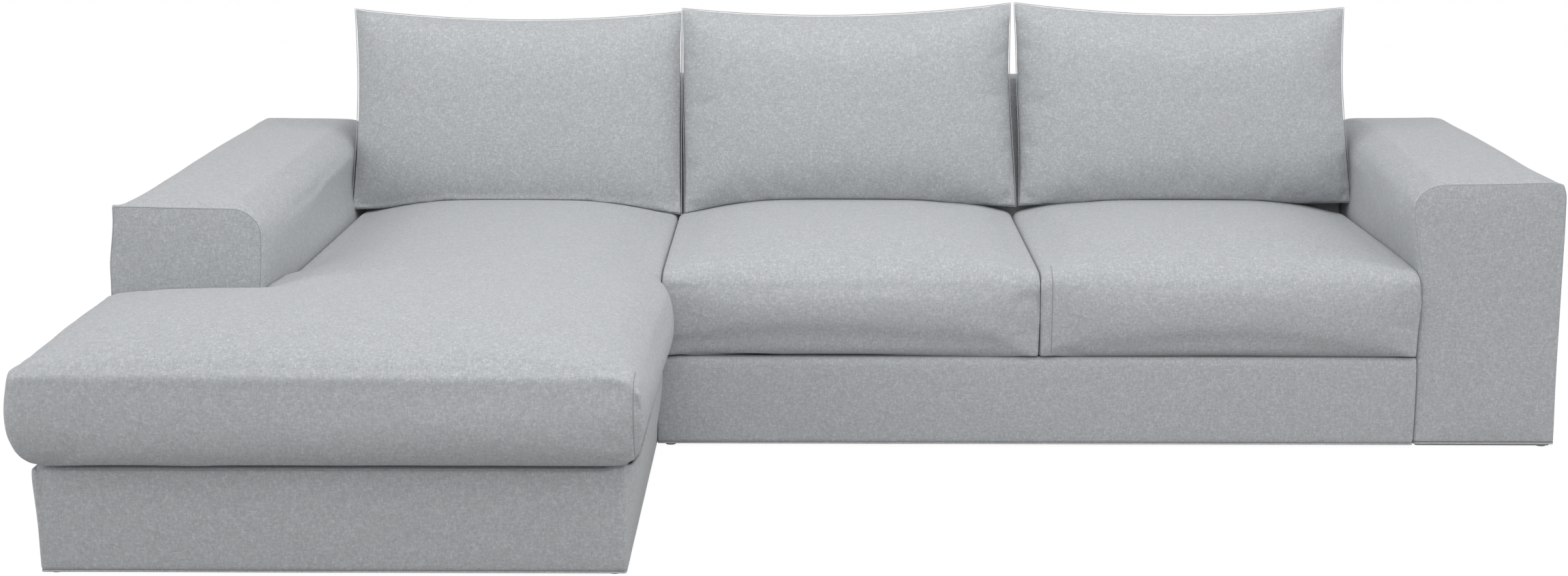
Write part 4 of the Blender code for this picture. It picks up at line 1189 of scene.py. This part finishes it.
def show_white(made, shader, white, share, end):
    """Mix white into a shader, but only for the camera and for reflections."""
    ray = add_node(made, "ShaderNodeLightPath")
    seen = add_node(made, "ShaderNodeMath", operation="MAXIMUM")
    wire_up(made, ray.outputs["Is Camera Ray"], seen.inputs[0])
    wire_up(made, ray.outputs["Is Glossy Ray"], seen.inputs[1])
    amount = add_node(made, "ShaderNodeMath", {1: share}, operation="MULTIPLY")
    wire_up(made, seen.outputs["Value"], amount.inputs[0])
    both = add_node(made, "ShaderNodeMixShader")
    wire_up(made, amount.outputs["Value"], both.inputs[0])
    wire_up(made, shader.outputs[0], both.inputs[1])
    wire_up(made, white.outputs[0], both.inputs[2])
    wire_up(made, both.outputs["Shader"], end.inputs["Surface"])


bpy.ops.object.select_all(action="DESELECT")
bpy.ops.mesh.primitive_plane_add(size=FLOOR_SIZE, location=(0.0, 0.0, 0.0))
floor = bpy.context.object
floor.name = "floor"
paint = new_material("floor", FLOOR_COLOUR, 1.0)
parts = paint.node_tree.nodes
parts["Principled BSDF"].inputs["Specular IOR Level"].default_value = 0.0
glow = add_node(paint, "ShaderNodeEmission", {"Color": (1.0, 1.0, 1.0, 1.0), "Strength": GLOW_STRENGTH})
show_white(paint, parts["Principled BSDF"], glow, FLOOR_GLOW, parts["Material Output"])
floor.data.materials.append(paint)


def add_lamp(name, place, target, size, power):
    """A square area lamp at place that shines at target."""
    lamp_data = bpy.data.lights.new(name, "AREA")
    lamp_data.size = size
    lamp_data.energy = power
    lamp = add_object(name, lamp_data)
    lamp.location = place
    lamp.rotation_euler = (Vector(target) - Vector(place)).to_track_quat("-Z", "Y").to_euler()


add_lamp("overhead", (0.0, -1.0, 3.2), (0.0, 0.1, 0.4), 3.0, OVERHEAD_POWER)
add_lamp("front", (0.5, -14.0, 8.0), SEATS, 5.0, FRONT_POWER)
add_lamp("left", (-SIDE_PLACE[0], *SIDE_PLACE[1:]), SEATS, 3.0, SIDE_POWER)
add_lamp("right", SIDE_PLACE, SEATS, 3.0, SIDE_POWER)

world = bpy.data.worlds.new("surrounding")
scene.world = world
world.use_nodes = True
sky = world.node_tree.nodes["Background"]
sky.inputs["Color"].default_value = (*SKY_COLOUR, 1.0)
sky.inputs["Strength"].default_value = SKY_STRENGTH
white = add_node(world, "ShaderNodeBackground", {"Color": (1.0, 1.0, 1.0, 1.0), "Strength": 1.0})
show_white(world, sky, white, 1.0, world.node_tree.nodes["World Output"])
scene.view_settings.view_transform = "Standard"
